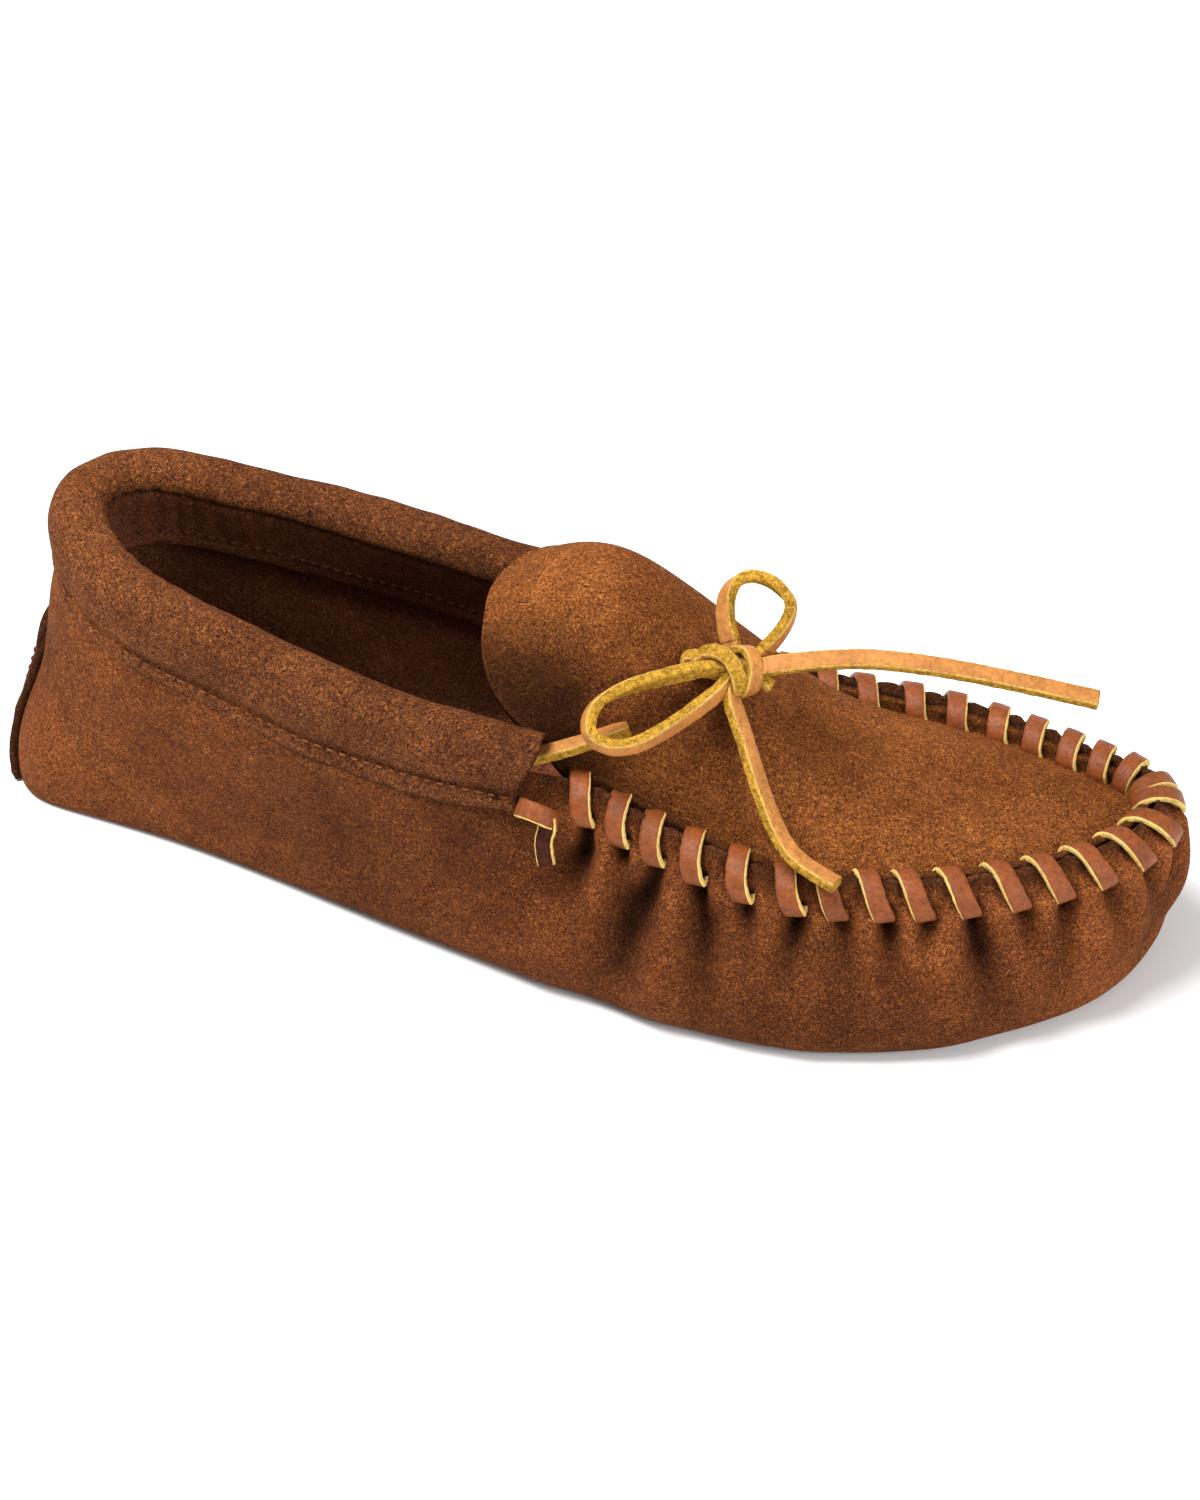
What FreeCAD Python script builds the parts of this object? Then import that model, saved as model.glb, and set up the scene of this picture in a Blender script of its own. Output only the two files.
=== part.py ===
import FreeCAD, Part

import math
import os

# A soft-soled leather moccasin for the right foot.
# Millimetres.  +X points to the toe, +Y to the inner side of the foot, +Z up.
# The sections below are laid out from the back of the heel (x = 0) and the
# heel's centre line (y = 0); every piece is moved at the end so that the
# middle of the sole lies on the origin.
V = FreeCAD.Vector

# ---- driving dimensions ---------------------------------------------------
MID_X = 140.4          # from the heel's back to the middle of the length
MID_Y = 1.4            # from the heel's centre line to the middle of the width
HIDE = 2.0             # thickness of the body, apron and heel tab leather
CUFF_SKIN = 1.4        # thickness of the folded collar leather
HEEL_RADIUS = 3.0      # rounding between the sole and the side at the heel
TOE_RADIUS = 7.5       # and under the ball of the foot and the toe
GAP = 0.1              # air between pieces that touch
ROLL_HALF_WIDE = 7.5   # collar roll, half its width
ROLL_HALF_HIGH = 10.0  # collar roll, half its height
COLLAR_END_X = 142.0   # where the collar roll stops on both sides
HINGE_X = 152.0        # where the tongue starts to lift off the apron
TONGUE_TIP_X = 121.0
TAB_HALF_WIDE = 14.0   # turned-up heel tab, half its width
TAB_TOP = 41.0         # and its height above the floor
LACE = 4.5             # width of the lace
THONG = 3.0            # round section with the area of the flat whip thong
WRAP_PITCH = 9.6       # along the apron seam
# Corners of one wrap of the thong, (outward, up) from the seam: outside the wall,
# over the rim, through the apron and under it.
WRAP_CORNERS = [(8.0, -9.5), (1.0, 2.4), (-5.5, -3.5), (-1.0, -12.5)]
RIDGE = 3.5            # the whip-laced edge is this much wider than the domed sheet
STITCH_PITCH = 3.4
STITCH_LENGTH = 2.3
THREAD_RADIUS = 0.35

# Widest line of the sole in plan, heel to toe, on the outer side of the foot.
SOLE_OUTER = [(-2.5, 0), (-1.5, -13), (2.5, -23), (9, -29.3), (20, -32), (45, -33.5),
              (82, -38.5), (125, -45.5), (168, -51), (200, -52), (232, -43.5), (258, -26),
              (275.5, -4), (281, 22)]
# The same line on the inner side of the foot.
SOLE_INNER = [(-2.5, 0), (-1.5, 13), (2.5, 23), (9, 29.3), (20, 32), (45, 33.5),
              (82, 37.5), (125, 43), (168, 49), (200, 53.5), (230, 55), (254, 51),
              (272.5, 41), (281, 22)]
# Top edge of the body, heel to toe: the middle of the collar roll, then the
# standing edge of the whip-laced apron seam.
RIM_OUTER = [(13, 0, 69.8), (15.5, -9, 70), (22, -17.5, 69.3), (36, -25.5, 66.3),
             (59, -30.5, 63.3), (94, -34.2, 58), (120, -35.2, 54.5), (142, -34.3, 53.2),
             (156, -31.5, 50.5), (170, -32.5, 46.8), (186, -33.7, 43.7), (205, -33.5, 41.5),
             (222, -28.5, 40.5), (241, -19.2, 40), (259, -6.8, 40.2), (271.5, 6.5, 41), (276.5, 23, 41.5)]
RIM_INNER = [(13, 0, 69.8), (15.5, 8, 69.5), (22, 15.5, 68.2), (36, 22.8, 64.3),
             (59, 27.8, 60.2), (94, 31.4, 55), (120, 32.4, 52.5), (142, 33, 52.3),
             (156, 33.5, 50.2), (171, 35, 46.3), (190, 37, 42.5), (205, 40, 40.9),
             (222, 42, 39.8), (241, 40.8, 39.4), (258, 37.3, 39.8), (270.5, 32.5, 40.8), (276.5, 23, 41.5)]
# Height of the apron and tongue along their crown line: (x, z).
CROWN = [(108, 62), (120, 77.5), (130, 85), (142, 89.5), (152, 88), (164, 81), (176, 72.5),
         (188, 63), (200, 54.5), (214, 48.5), (230, 44), (250, 40.5), (264, 38.5), (285, 37)]
# Height of the apron's edge along the same line.
APRON_EDGE = [(108, 54.5), (142, 50.5), (156, 46), (171, 41.8), (186, 38.7), (205, 36.5),
              (222, 35.5), (241, 35), (259, 35.3), (270, 36), (285, 37)]


# ---- small tools -----------------------------------------------------------
def spline(points):
    """Smooth curve through points."""
    curve = Part.BSplineCurve()
    curve.interpolate([V(*p) for p in points])
    return curve


def closed_spline(points):
    """Smooth closed curve through points; the first is not repeated."""
    curve = Part.BSplineCurve()
    curve.interpolate(Points=[V(*p) for p in points], PeriodicFlag=True)
    return curve


def spaced(curve, count):
    """Points and unit tangents at equal steps of length along a curve."""
    length = curve.length()
    places = []
    for i in range(count):
        u = curve.parameterAtDistance(length * i / (count - 1), curve.FirstParameter)
        tangent = curve.tangent(u)[0]
        places.append((curve.value(u), tangent))
    return places


def at_x(curve, x):
    """Point of a curve that runs heel to toe, at x."""
    low, high = curve.FirstParameter, curve.LastParameter
    for _ in range(40):
        u = (low + high) / 2
        if curve.value(u).x < x:
            low = u
        else:
            high = u
    return curve.value(u)


def surface(grid):
    """Smooth surface through a grid of points."""
    skin = Part.BSplineSurface()
    skin.interpolate(grid)
    return skin.toShape()


def solid_from(faces):
    """Closed solid from faces that share their borders."""
    shell = Part.Shell(faces)
    shell.sewShape()
    solid = Part.Solid(shell)
    if solid.Volume < 0:
        solid.reverse()
    return solid


def border(face, row):
    """The border of a face that runs through the points of a row, in the row's direction."""
    middle = Part.Vertex(row[len(row) // 2])
    found = [e for e in face.Edges if e.distToShape(middle)[0] < 1e-4][0]
    return Part.Edge(found.Curve, found.FirstParameter, found.LastParameter)


def thick_sheet(top_grid, bottom_grid):
    """Solid between two sheets, closed by ruled sides."""
    top = surface(top_grid)
    bottom = surface(bottom_grid)
    faces = [top, bottom]
    for pick in (lambda g: g[0], lambda g: g[-1],
                 lambda g: [row[0] for row in g], lambda g: [row[-1] for row in g]):
        faces.append(Part.makeRuledSurface(border(top, pick(top_grid)),
                                           border(bottom, pick(bottom_grid))))
    return solid_from(faces)


def tube_skin(grid):
    """Solid inside a ring-by-ring grid, closed by flat ends."""
    skin = surface(grid)
    ends = [Part.Face(Part.Wire(border(skin, ring))) for ring in (grid[0], grid[-1])]
    return solid_from([skin] + ends)


def offset_grid(grid, distance, closed):
    """Move every point of a grid along the sheet's own normal."""
    moved = []
    rows = len(grid)
    for i in range(rows):
        columns = len(grid[i])
        line = []
        for j in range(columns):
            up = grid[min(i + 1, rows - 1)][j] - grid[max(i - 1, 0)][j]
            if closed and j in (0, columns - 1):
                side = grid[i][1] - grid[i][columns - 2]
            else:
                side = grid[i][min(j + 1, columns - 1)] - grid[i][max(j - 1, 0)]
            line.append(grid[i][j] + side.cross(up).normalize() * distance)
        moved.append(line)
    return moved


def cord(points, diameter, tightness=0.45):
    """Round tube along straight runs joined by tangent arcs."""
    corners = [V(*p) for p in points]
    edges = []
    start = corners[0]
    radii = []
    for before, corner, after in zip(corners, corners[1:], corners[2:]):
        back = (before - corner).normalize()
        ahead = (after - corner).normalize()
        reach = tightness * min((before - corner).Length, (after - corner).Length)
        half_turn = (math.pi - back.getAngle(ahead)) / 2
        radius = reach / math.tan(half_turn)
        radii.append(radius)
        arc_in = corner + back * reach
        arc_out = corner + ahead * reach
        bisector = (back + ahead).normalize()
        middle = corner + bisector * (radius / math.cos(half_turn) - radius)
        edges.append(Part.LineSegment(start, arc_in).toShape())
        edges.append(Part.Arc(arc_in, middle, arc_out).toShape())
        start = arc_out
    edges.append(Part.LineSegment(start, corners[-1]).toShape())
    path = Part.Wire(edges)
    direction = corners[1] - corners[0]
    ring = Part.Wire(Part.Circle(corners[0], direction, diameter / 2).toShape())
    tube = path.makePipeShell([ring], True, True)
    expected = math.pi * diameter ** 2 / 4 * path.Length
    if abs(tube.Volume / expected - 1) > 0.02:
        print("  volume differs:", round(tube.Volume), "against", round(expected))
    return tube, path.Length, radii


# ---- the body: one hide for sole, sides and toe wall -----------------------
def wall_section(foot, foot_out, top, top_out):
    """Outside of the wall from the sole up to the rim, as points."""
    radius = HEEL_RADIUS + (TOE_RADIUS - HEEL_RADIUS) * max(0.0, min(1.0, foot.x / 200))
    points = []
    for turn in (0, 25, 50, 70, 90):
        inset = radius * (1 - math.sin(math.radians(turn)))
        rise = radius * (1 - math.cos(math.radians(turn)))
        points.append(foot - foot_out * inset + V(0, 0, rise))
    shoulder = top + top_out * 5.7 + V(0, 0, -7.8)
    bulge = 1.0 + 2.0 * max(0.0, min(1.0, (foot.x - 150) / 70))
    belly = points[-1] * 0.55 + shoulder * 0.45 + foot_out * bulge
    return points + [belly, shoulder, top + top_out * 3.3 + V(0, 0, -3.2), top]


def side_sections(sole_points, rim_points, side, fractions):
    """Wall sections on one side of the foot; fractions run from heel 0 to toe 1."""
    sole = spline([(x, y, 0) for x, y in sole_points])
    rim = spline(rim_points)
    sections = []
    for fraction in fractions:
        ends = []
        for curve in (sole, rim):
            u = curve.parameterAtDistance(curve.length() * fraction, curve.FirstParameter)
            tangent = curve.tangent(u)[0]
            out = V(tangent.y, -tangent.x, 0).normalize() * side
            if fraction in (0, 1):
                out = V(2 * fraction - 1, 0, 0)
            ends += [curve.value(u), out]
        sections.append(wall_section(*ends))
    return sections


def body_grid():
    """Wall points, ring by ring, from the sole up, once round the foot."""
    fractions = [i / 32 for i in range(33)]
    columns = side_sections(SOLE_OUTER, RIM_OUTER, 1, fractions)
    columns += side_sections(SOLE_INNER, RIM_INNER, -1, fractions)[-2::-1]
    return [list(ring) for ring in zip(*columns)]


def make_body(roll):
    """Open-topped shell: up the outside, over the rim and down the inside."""
    outside = body_grid()
    inside = offset_grid(outside, -HIDE, True)
    inside[0] = [V(p.x, p.y, HIDE) for p in outside[0]]
    rim = [(a + b) * 0.5 + V(0, 0, 0.7) for a, b in zip(outside[-1], inside[-1])]
    rings = outside + [rim] + inside[::-1]
    for ring in rings:
        ring[-1] = ring[0]
    skin = surface(rings)
    floor = Part.Face(Part.Wire(border(skin, rings[0])))
    inner_floor = Part.Face(Part.Wire(border(skin, rings[-1])))
    return solid_from([skin, floor, inner_floor]).cut(roll)


# ---- the collar: folded leather over padding -------------------------------
def collar_path():
    """Middle of the collar roll from its outer end round the heel."""
    outer_end = [p for p in RIM_OUTER if p[0] <= COLLAR_END_X]
    inner_end = [p for p in RIM_INNER if p[0] <= COLLAR_END_X]
    return spline(outer_end[::-1] + inner_end[1:])


def roll_solid(half_wide, half_high, stretch=0.0):
    """Roll of oval section along the collar, lengthened by stretch at both ends."""
    rings = []
    for place, tangent in spaced(collar_path(), 41):
        out = V(tangent.y, -tangent.x, 0).normalize() * -1
        ring = []
        for k in range(17):
            turn = 2 * math.pi * k / 16
            ring.append(place + out * (half_wide * math.cos(turn))
                        + V(0, 0, half_high * math.sin(turn)))
        rings.append(ring)
    for end, inner in ((0, 1), (-1, -2)):
        ahead = (rings[end][8] - rings[inner][8])
        ahead = V(ahead.x, ahead.y, 0).normalize() * stretch
        rings[end] = [p + ahead for p in rings[end]]
    for ring in rings:
        ring[-1] = ring[0]
    return tube_skin(rings)


# The drawstring's way through the collar, from its outer end round the heel.
CHANNEL = [(142.5, -32, 56), (108, -34.7, 56.4), (70, -32, 61.8), (40, -27, 65.6),
           (24, -19.3, 68.8), (14.2, -6.5, 69.9), (14.2, 6.5, 69.2), (25.5, 17.8, 67.2),
           (52, 26.8, 61.4), (86, 30.9, 56.1), (118, 32.1, 53), (142.5, 30.6, 55.2)]


def make_collar():
    outside = roll_solid(ROLL_HALF_WIDE, ROLL_HALF_HIGH)
    hollow = roll_solid(ROLL_HALF_WIDE - CUFF_SKIN, ROLL_HALF_HIGH - CUFF_SKIN, 3.0)
    cuff = outside.cut(hollow)
    wide = ROLL_HALF_WIDE - CUFF_SKIN - GAP
    high = ROLL_HALF_HIGH - CUFF_SKIN - GAP
    lace, _, radii = cord(CHANNEL, LACE)
    channel = cord(CHANNEL, LACE + 2 * GAP)[0]
    padding = roll_solid(wide, high, -0.5).cut(channel)
    return outside, cuff, padding, lace, radii


def stitches(curve, out, down, count, sign):
    """Short threads laid along a curve beside the collar."""
    pieces = []
    for place, tangent in spaced(curve, count)[1:-1]:
        side = V(tangent.y, -tangent.x, 0).normalize() * -sign
        centre = place + side * out + V(0, 0, -down)
        start = centre - tangent * (STITCH_LENGTH / 2)
        pieces.append(Part.makeCylinder(THREAD_RADIUS, STITCH_LENGTH, start, tangent))
    return Part.makeCompound(pieces)


# ---- heel tab, insole ------------------------------------------------------
def heel_sections(reach):
    """Wall sections across the back of the heel, up to reach on each side."""
    steps = [0, reach / 4, reach / 2, reach * 3 / 4, reach]
    length = spline([(x, y, 0) for x, y in SOLE_OUTER]).length()
    fractions = [step / length for step in steps]
    outer_side = side_sections(SOLE_OUTER, RIM_OUTER, 1, fractions)
    inner_side = side_sections(SOLE_INNER, RIM_INNER, -1, fractions)
    return inner_side[:0:-1] + outer_side


def at_height(section, height):
    """Point of a wall section at a height."""
    wall = spline([(p.x, p.y, p.z) for p in section])
    low, high = wall.FirstParameter, wall.LastParameter
    for _ in range(40):
        u = (low + high) / 2
        if wall.value(u).z < height:
            low = u
        else:
            high = u
    return wall.value(u)


def make_heel_tab():
    """Flap of the sole leather turned up over the heel seam."""
    sections = heel_sections(TAB_HALF_WIDE)
    rows = [[at_height(section, height) for section in sections]
            for height in (2.4, 9, 17, 25, 33, TAB_TOP)]
    return thick_sheet(offset_grid(rows, GAP + HIDE, False), offset_grid(rows, GAP, False))


def upright_stitches(section, low, high, stand_off):
    """A row of threads up the heel."""
    pieces = []
    height = low
    while height < high:
        start = at_height(section, height)
        ahead = (at_height(section, height + STITCH_LENGTH) - start).normalize()
        pieces.append(Part.makeCylinder(THREAD_RADIUS, STITCH_LENGTH, start + stand_off, ahead))
        height += STITCH_PITCH
    return pieces


def heel_stitches():
    """Two rows of threads that hold the tab, and the closed seam above it."""
    sections = heel_sections(TAB_HALF_WIDE - 3)
    off_tab = V(-(HIDE + 2 * GAP + THREAD_RADIUS), 0, 0)
    pieces = upright_stitches(sections[0], 9, TAB_TOP - 3, off_tab)
    pieces += upright_stitches(sections[-1], 9, TAB_TOP - 3, off_tab)
    pieces += upright_stitches(sections[4], TAB_TOP + 2, 60, V(-THREAD_RADIUS, 0, 0))
    return Part.makeCompound(pieces)


def insole_plate(bottom, top, inset):
    """Flat pad following the sole's outline."""
    outline = []
    for points, side in ((SOLE_OUTER, 1), (SOLE_INNER, -1)):
        edge = spaced(spline([(x, y, bottom) for x, y in points]), 15)
        line = [p + V(d.y, -d.x, 0).normalize() * -side * inset for p, d in edge[1:-1]]
        outline.append([(p.x, p.y, bottom) for p in line])
    heel = [(SOLE_OUTER[0][0] + inset, 0, bottom)]
    toe = [(SOLE_OUTER[-1][0] - inset, 22, bottom)]
    ring = closed_spline(heel + outline[0] + toe + outline[1][::-1])
    return Part.Face(Part.Wire(ring.toShape())).extrude(V(0, 0, top - bottom))


# ---- apron and tongue ------------------------------------------------------
def seam_lines():
    return spline(RIM_OUTER[7:]), spline(RIM_INNER[7:])


def sheet_point(x, across, crown, edge, y_outer, y_inner):
    """Point of the domed sheet; across is -1 and 1 on the two seams."""
    middle = (y_outer + y_inner) / 2
    half = (y_inner - y_outer) / 2 - RIDGE
    fall = 1 - abs(across) ** (3.0 if across > 0 else 2.4)
    return V(x, middle + across * half, edge + (crown - edge) * fall)


def dome_grids():
    """Upper and lower points of the domed sheet that apron and tongue are cut from."""
    outer, inner = seam_lines()
    crown_line = spline([(x, 0, z) for x, z in CROWN])
    edge_line = spline([(x, 0, z) for x, z in APRON_EDGE])
    rows = []
    for i in range(43):
        x = 110 + 4.0 * i
        held = max(143.0, min(264.0, x))
        crown = at_x(crown_line, x).z
        edge = at_x(edge_line, x).z
        rows.append([sheet_point(x, 0.115 * k, crown, edge, at_x(outer, held).y, at_x(inner, held).y)
                     for k in range(-10, 11)])
    return rows, offset_grid(rows, HIDE, False)


def plan_prism(points):
    """Upright prism on a smooth line whose two ends are joined by a straight cut."""
    line = spline(points).toShape()
    cut = Part.makeLine(V(*points[-1]), V(*points[0]))
    return Part.Face(Part.Wire([line, cut])).extrude(V(0, 0, 100))


def inset_seam(points, distance, side):
    """Seam points moved towards the middle of the apron."""
    moved = []
    curve = spline(points)
    for place, tangent in spaced(curve, 15):
        inward = V(tangent.y, -tangent.x, 0).normalize() * -side
        moved.append((place.x + inward.x * distance, place.y + inward.y * distance, 10))
    return moved


def make_top():
    upper, lower = dome_grids()
    dome = thick_sheet(upper, lower)
    inset = HIDE + 0.6
    outer = inset_seam(RIM_OUTER[7:], inset, 1)
    inner = inset_seam(RIM_INNER[7:], inset, -1)
    toe = (RIM_OUTER[-1][0] - HIDE - 1.1, 23, 10)
    apron_line = [p for p in outer if HINGE_X + 1 < p[0] < 272]
    apron_line += [toe]
    apron_line += [p for p in inner if HINGE_X + 1 < p[0] < 272][::-1]
    start = (HINGE_X + 0.2, apron_line[0][1] + 0.2, 10)
    end = (HINGE_X + 0.2, apron_line[-1][1] - 0.2, 10)
    apron = dome.common(plan_prism([start] + apron_line + [end]))
    tongue_line = [(HINGE_X - 0.2, -25.5, 10), (143, -24.5, 10), (134, -23.8, 10), (127.5, -20.5, 10),
                   (123.5, -12, 10), (TONGUE_TIP_X, 1, 10), (125.5, 10.5, 10), (132, 18, 10),
                   (142, 22, 10), (HINGE_X - 0.2, 25.5, 10)]
    tongue = dome.common(plan_prism(tongue_line))
    return apron, tongue


# ---- laces -----------------------------------------------------------------
def whip_lacing():
    """One thong wound over the apron seam from the outer to the inner collar end."""
    seam = spline(RIM_OUTER[8:] + RIM_INNER[-2:7:-1])
    turns = int(round(seam.length() / WRAP_PITCH))
    places = spaced(seam, 4 * turns + 1)
    points = []
    for k, (place, tangent) in enumerate(places[:-1]):
        out = V(tangent.y, -tangent.x, 0).normalize()
        across, height = WRAP_CORNERS[k % 4]
        p = place + out * across + V(0, 0, height)
        points.append((p.x, p.y, p.z))
    return cord(points, THONG), turns


KNOT = V(182.3, -7, 74.3)
# Routes of the lace and of the thong's two ends.
CORDS = {
    "lace_feed_outer": (LACE, [(142.5, -32, 56), (150, -29.5, 58.8), (156, -26.5, 61.3), (162, -21.5, 62.6)]),
    "lace_feed_inner": (LACE, [(142.5, 30.6, 55.2), (150, 30.6, 58), (156, 29.4, 60.9), (162, 26, 63)]),
    "bow_loop_outer": (LACE, [(174.6, -12.5, 76.5), (163, -20, 75), (155.5, -28, 72.5),
                              (156.5, -34, 67), (166, -33.5, 65.5), (175.5, -22, 69),
                              (180, -14.2, 71.8)]),
    "bow_loop_inner": (LACE, [(179.3, -2, 78.5), (175, 2, 85), (179, 5.5, 92.8), (186.5, 7, 92),
                              (193.5, 5.5, 85.5), (187.5, -0.5, 77.6)]),
    "lace_end_front": (LACE, [(189.5, -5, 76.6), (204, 2, 78.6), (222, 8.5, 77.2), (242, 14.6, 73.7),
                              (261, 20, 69.7)]),
    "lace_end_side": (LACE, [(184.4, -12.8, 69.2), (189, -17, 63.8), (195, -23.5, 56.6), (202.5, -30.5, 49.6),
                             (210, -35.5, 47.3), (219, -37.3, 46.3)]),
    "whip_end_outer": (THONG, [(144.5, -41.5, 47.5), (148, -42.5, 51), (151.5, -43.5, 47.5),
                               (150, -45, 42.5), (151.5, -45.5, 37)]),
    "whip_end_inner": (THONG, [(144.5, 41.5, 47.5), (148, 42.5, 51), (151.5, 43.5, 47.5),
                               (150, 45, 42.5), (151.5, 45.5, 37)]),
}


def make_knot():
    """Half-hitch round the crossing strands, drawn tight."""
    heart = Part.makeSphere(1.0)
    stretch = FreeCAD.Matrix()
    stretch.scale(5.2, 4.6, 3.9)
    heart = heart.transformGeometry(stretch)
    band = Part.makeTorus(4.6, 1.7)
    band.rotate(V(0, 0, 0), V(1, 0.4, 0), 78)
    knot = heart.fuse(band).removeSplitter()
    knot.translate(KNOT)
    return knot


# ---- everything together ---------------------------------------------------
def build():
    roll, cuff, padding, collar_lace, radii = make_collar()
    print("collar lace radii", [round(r, 1) for r in radii])
    body = make_body(roll)
    nodes = {"body_wrap": body,
             "collar_cuff": cuff,
             "collar_padding": padding,
             "collar_lace": collar_lace,
             "heel_tab": make_heel_tab().cut(body),
             "heel_stitching": heel_stitches(),
             "insole_foam": insole_plate(HIDE + GAP, 6.2, 10.0),
             "insole_cover": insole_plate(6.3, 7.3, 9.5)}
    count = int(collar_path().length() / STITCH_PITCH)
    nodes["collar_outer_stitching"] = stitches(collar_path(), 5.7, 7.6, count, 1)
    nodes["collar_inner_stitching"] = stitches(collar_path(), 7.2, 5.4, count, -1)
    nodes["apron"], nodes["tongue_flap"] = make_top()
    (lacing, _, turn_radii), turns = whip_lacing()
    print("whip lacing turns", turns, "radii", round(min(turn_radii), 1), "to", round(max(turn_radii), 1))
    nodes["whip_lacing"] = lacing
    nodes["bow_knot"] = make_knot()
    for name, (width, points) in CORDS.items():
        tube, length, bends = cord(points, width)
        print(name, "length", round(length, 1), "radii", [round(r, 1) for r in bends])
        nodes[name] = tube
    return nodes


os.makedirs("parts", exist_ok=True)
for name, shape in build().items():
    shape.translate(V(-MID_X, -MID_Y, 0))
    shape.exportStep("parts/" + name + ".step")
    box = shape.BoundBox
    print(name, "valid", shape.isValid(), "volume", round(shape.Volume),
          [round(v, 1) for v in (box.XMin, box.YMin, box.ZMin, box.XMax, box.YMax, box.ZMax)])
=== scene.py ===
import math

import bmesh
import bpy
import numpy as np
from mathutils import Matrix, Vector, noise


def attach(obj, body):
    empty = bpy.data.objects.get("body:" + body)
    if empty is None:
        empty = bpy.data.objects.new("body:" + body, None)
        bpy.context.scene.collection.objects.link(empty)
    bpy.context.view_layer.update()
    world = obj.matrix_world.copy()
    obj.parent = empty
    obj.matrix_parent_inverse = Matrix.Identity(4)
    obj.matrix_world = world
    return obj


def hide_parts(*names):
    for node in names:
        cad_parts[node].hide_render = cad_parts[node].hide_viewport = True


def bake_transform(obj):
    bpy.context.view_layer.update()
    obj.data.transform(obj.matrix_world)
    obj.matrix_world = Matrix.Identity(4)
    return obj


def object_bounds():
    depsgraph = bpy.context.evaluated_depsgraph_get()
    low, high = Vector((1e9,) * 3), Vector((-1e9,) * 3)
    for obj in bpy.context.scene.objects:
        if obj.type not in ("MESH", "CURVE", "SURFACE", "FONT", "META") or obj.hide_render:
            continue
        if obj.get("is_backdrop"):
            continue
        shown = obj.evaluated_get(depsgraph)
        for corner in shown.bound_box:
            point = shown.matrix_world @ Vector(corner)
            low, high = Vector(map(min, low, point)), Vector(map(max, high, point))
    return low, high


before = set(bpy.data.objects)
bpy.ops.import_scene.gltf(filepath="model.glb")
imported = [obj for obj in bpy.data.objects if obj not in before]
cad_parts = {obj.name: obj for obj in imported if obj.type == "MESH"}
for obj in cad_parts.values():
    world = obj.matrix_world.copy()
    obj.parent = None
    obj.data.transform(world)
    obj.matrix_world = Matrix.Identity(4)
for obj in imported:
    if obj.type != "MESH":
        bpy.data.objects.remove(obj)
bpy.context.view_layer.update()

# Lengths below are millimetres, from the back of the heel and the heel's centre line.
MID_X, MID_Y = 140.4, 1.4
HIDE = 2.0
SOLE_OUTER = [(-2.5, 0), (-1.7, -13), (0.8, -23), (7.5, -30), (20, -32.4), (45, -33.5), (82, -38.5),
              (125, -45.5), (168, -51), (200, -52), (232, -43.5), (258, -26), (275.5, -4), (281, 22)]
SOLE_INNER = [(-2.5, 0), (-1.5, 13), (2.5, 23), (9, 29.3), (20, 32), (45, 33.5),
              (82, 37.5), (125, 43), (168, 49), (200, 53.5), (230, 55), (254, 51),
              (272.5, 41), (281, 22)]
RIM_OUTER = [(13, 0, 69.8), (15.5, -9, 70), (22, -17.5, 69.3), (36, -25.5, 66.3),
             (59, -30.5, 63.3), (94, -34.2, 58), (120, -35.2, 54.5), (142, -34.3, 53.2),
             (156, -31.5, 50.5), (170, -32.5, 46.8), (186, -33.7, 43.7), (205, -33.5, 41.5),
             (222, -28.5, 40.5), (241, -19.2, 40), (259, -6.8, 40.2), (271.5, 6.5, 41), (276.5, 23, 41.5)]
RIM_INNER = [(13, 0, 69.8), (15.5, 8, 69.5), (22, 15.5, 68.2), (36, 22.8, 64.3),
             (59, 27.8, 60.2), (94, 31.4, 55), (120, 32.4, 52.5), (142, 33, 52.3),
             (156, 33.5, 50.2), (171, 35, 46.3), (190, 37, 42.5), (205, 40, 40.9),
             (222, 42, 39.8), (241, 40.8, 39.4), (258, 37.3, 39.8), (270.5, 32.5, 40.8), (276.5, 23, 41.5)]
CROWN = [(108, 62), (120, 77.5), (130, 85), (142, 89.5), (152, 88), (164, 81), (176, 72.5),
         (188, 63), (200, 54.5), (214, 48.5), (230, 44), (250, 40.5), (264, 38.5), (285, 37)]
APRON_EDGE = [(108, 54.5), (142, 50.5), (156, 46), (171, 41.8), (186, 38.7), (205, 36.5),
              (222, 35.5), (241, 35), (259, 35.3), (270, 36), (285, 37)]
KNOT = np.array((182.3, -7, 74.3))

# ---- camera ---------------------------------------------------------------
AZIMUTH, ELEVATION = math.radians(22.05), math.radians(39.33)
RIGHT = np.array((math.cos(AZIMUTH), math.sin(AZIMUTH), 0))
BACK = np.array((math.sin(AZIMUTH) * math.cos(ELEVATION),
                 -math.cos(AZIMUTH) * math.cos(ELEVATION), math.sin(ELEVATION)))
UP = np.cross(BACK, RIGHT)


def metres(points):
    """Points in millimetres from the heel as points of the shared frame in metres."""
    return (np.asarray(points, float) - (MID_X, MID_Y, 0)) / 1000


def new_object(name, data):
    made = bpy.data.objects.new(name, data)
    bpy.context.scene.collection.objects.link(made)
    return made


camera_data = bpy.data.cameras.new("camera")
camera = new_object("camera", camera_data)
camera_data.lens = 109.0
camera_data.sensor_width = 36
camera_data.clip_start = 0.05
camera.matrix_world = Matrix([[RIGHT[i], UP[i], BACK[i], metres((459.3, -772.7, 717.9))[i]]
                              for i in range(3)] + [[0, 0, 0, 1]])
bpy.context.scene.camera = camera


# ---- tools ----------------------------------------------------------------
def unit(v):
    v = np.asarray(v, float)
    return v / np.maximum(np.linalg.norm(v, axis=-1, keepdims=True), 1e-12)


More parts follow.
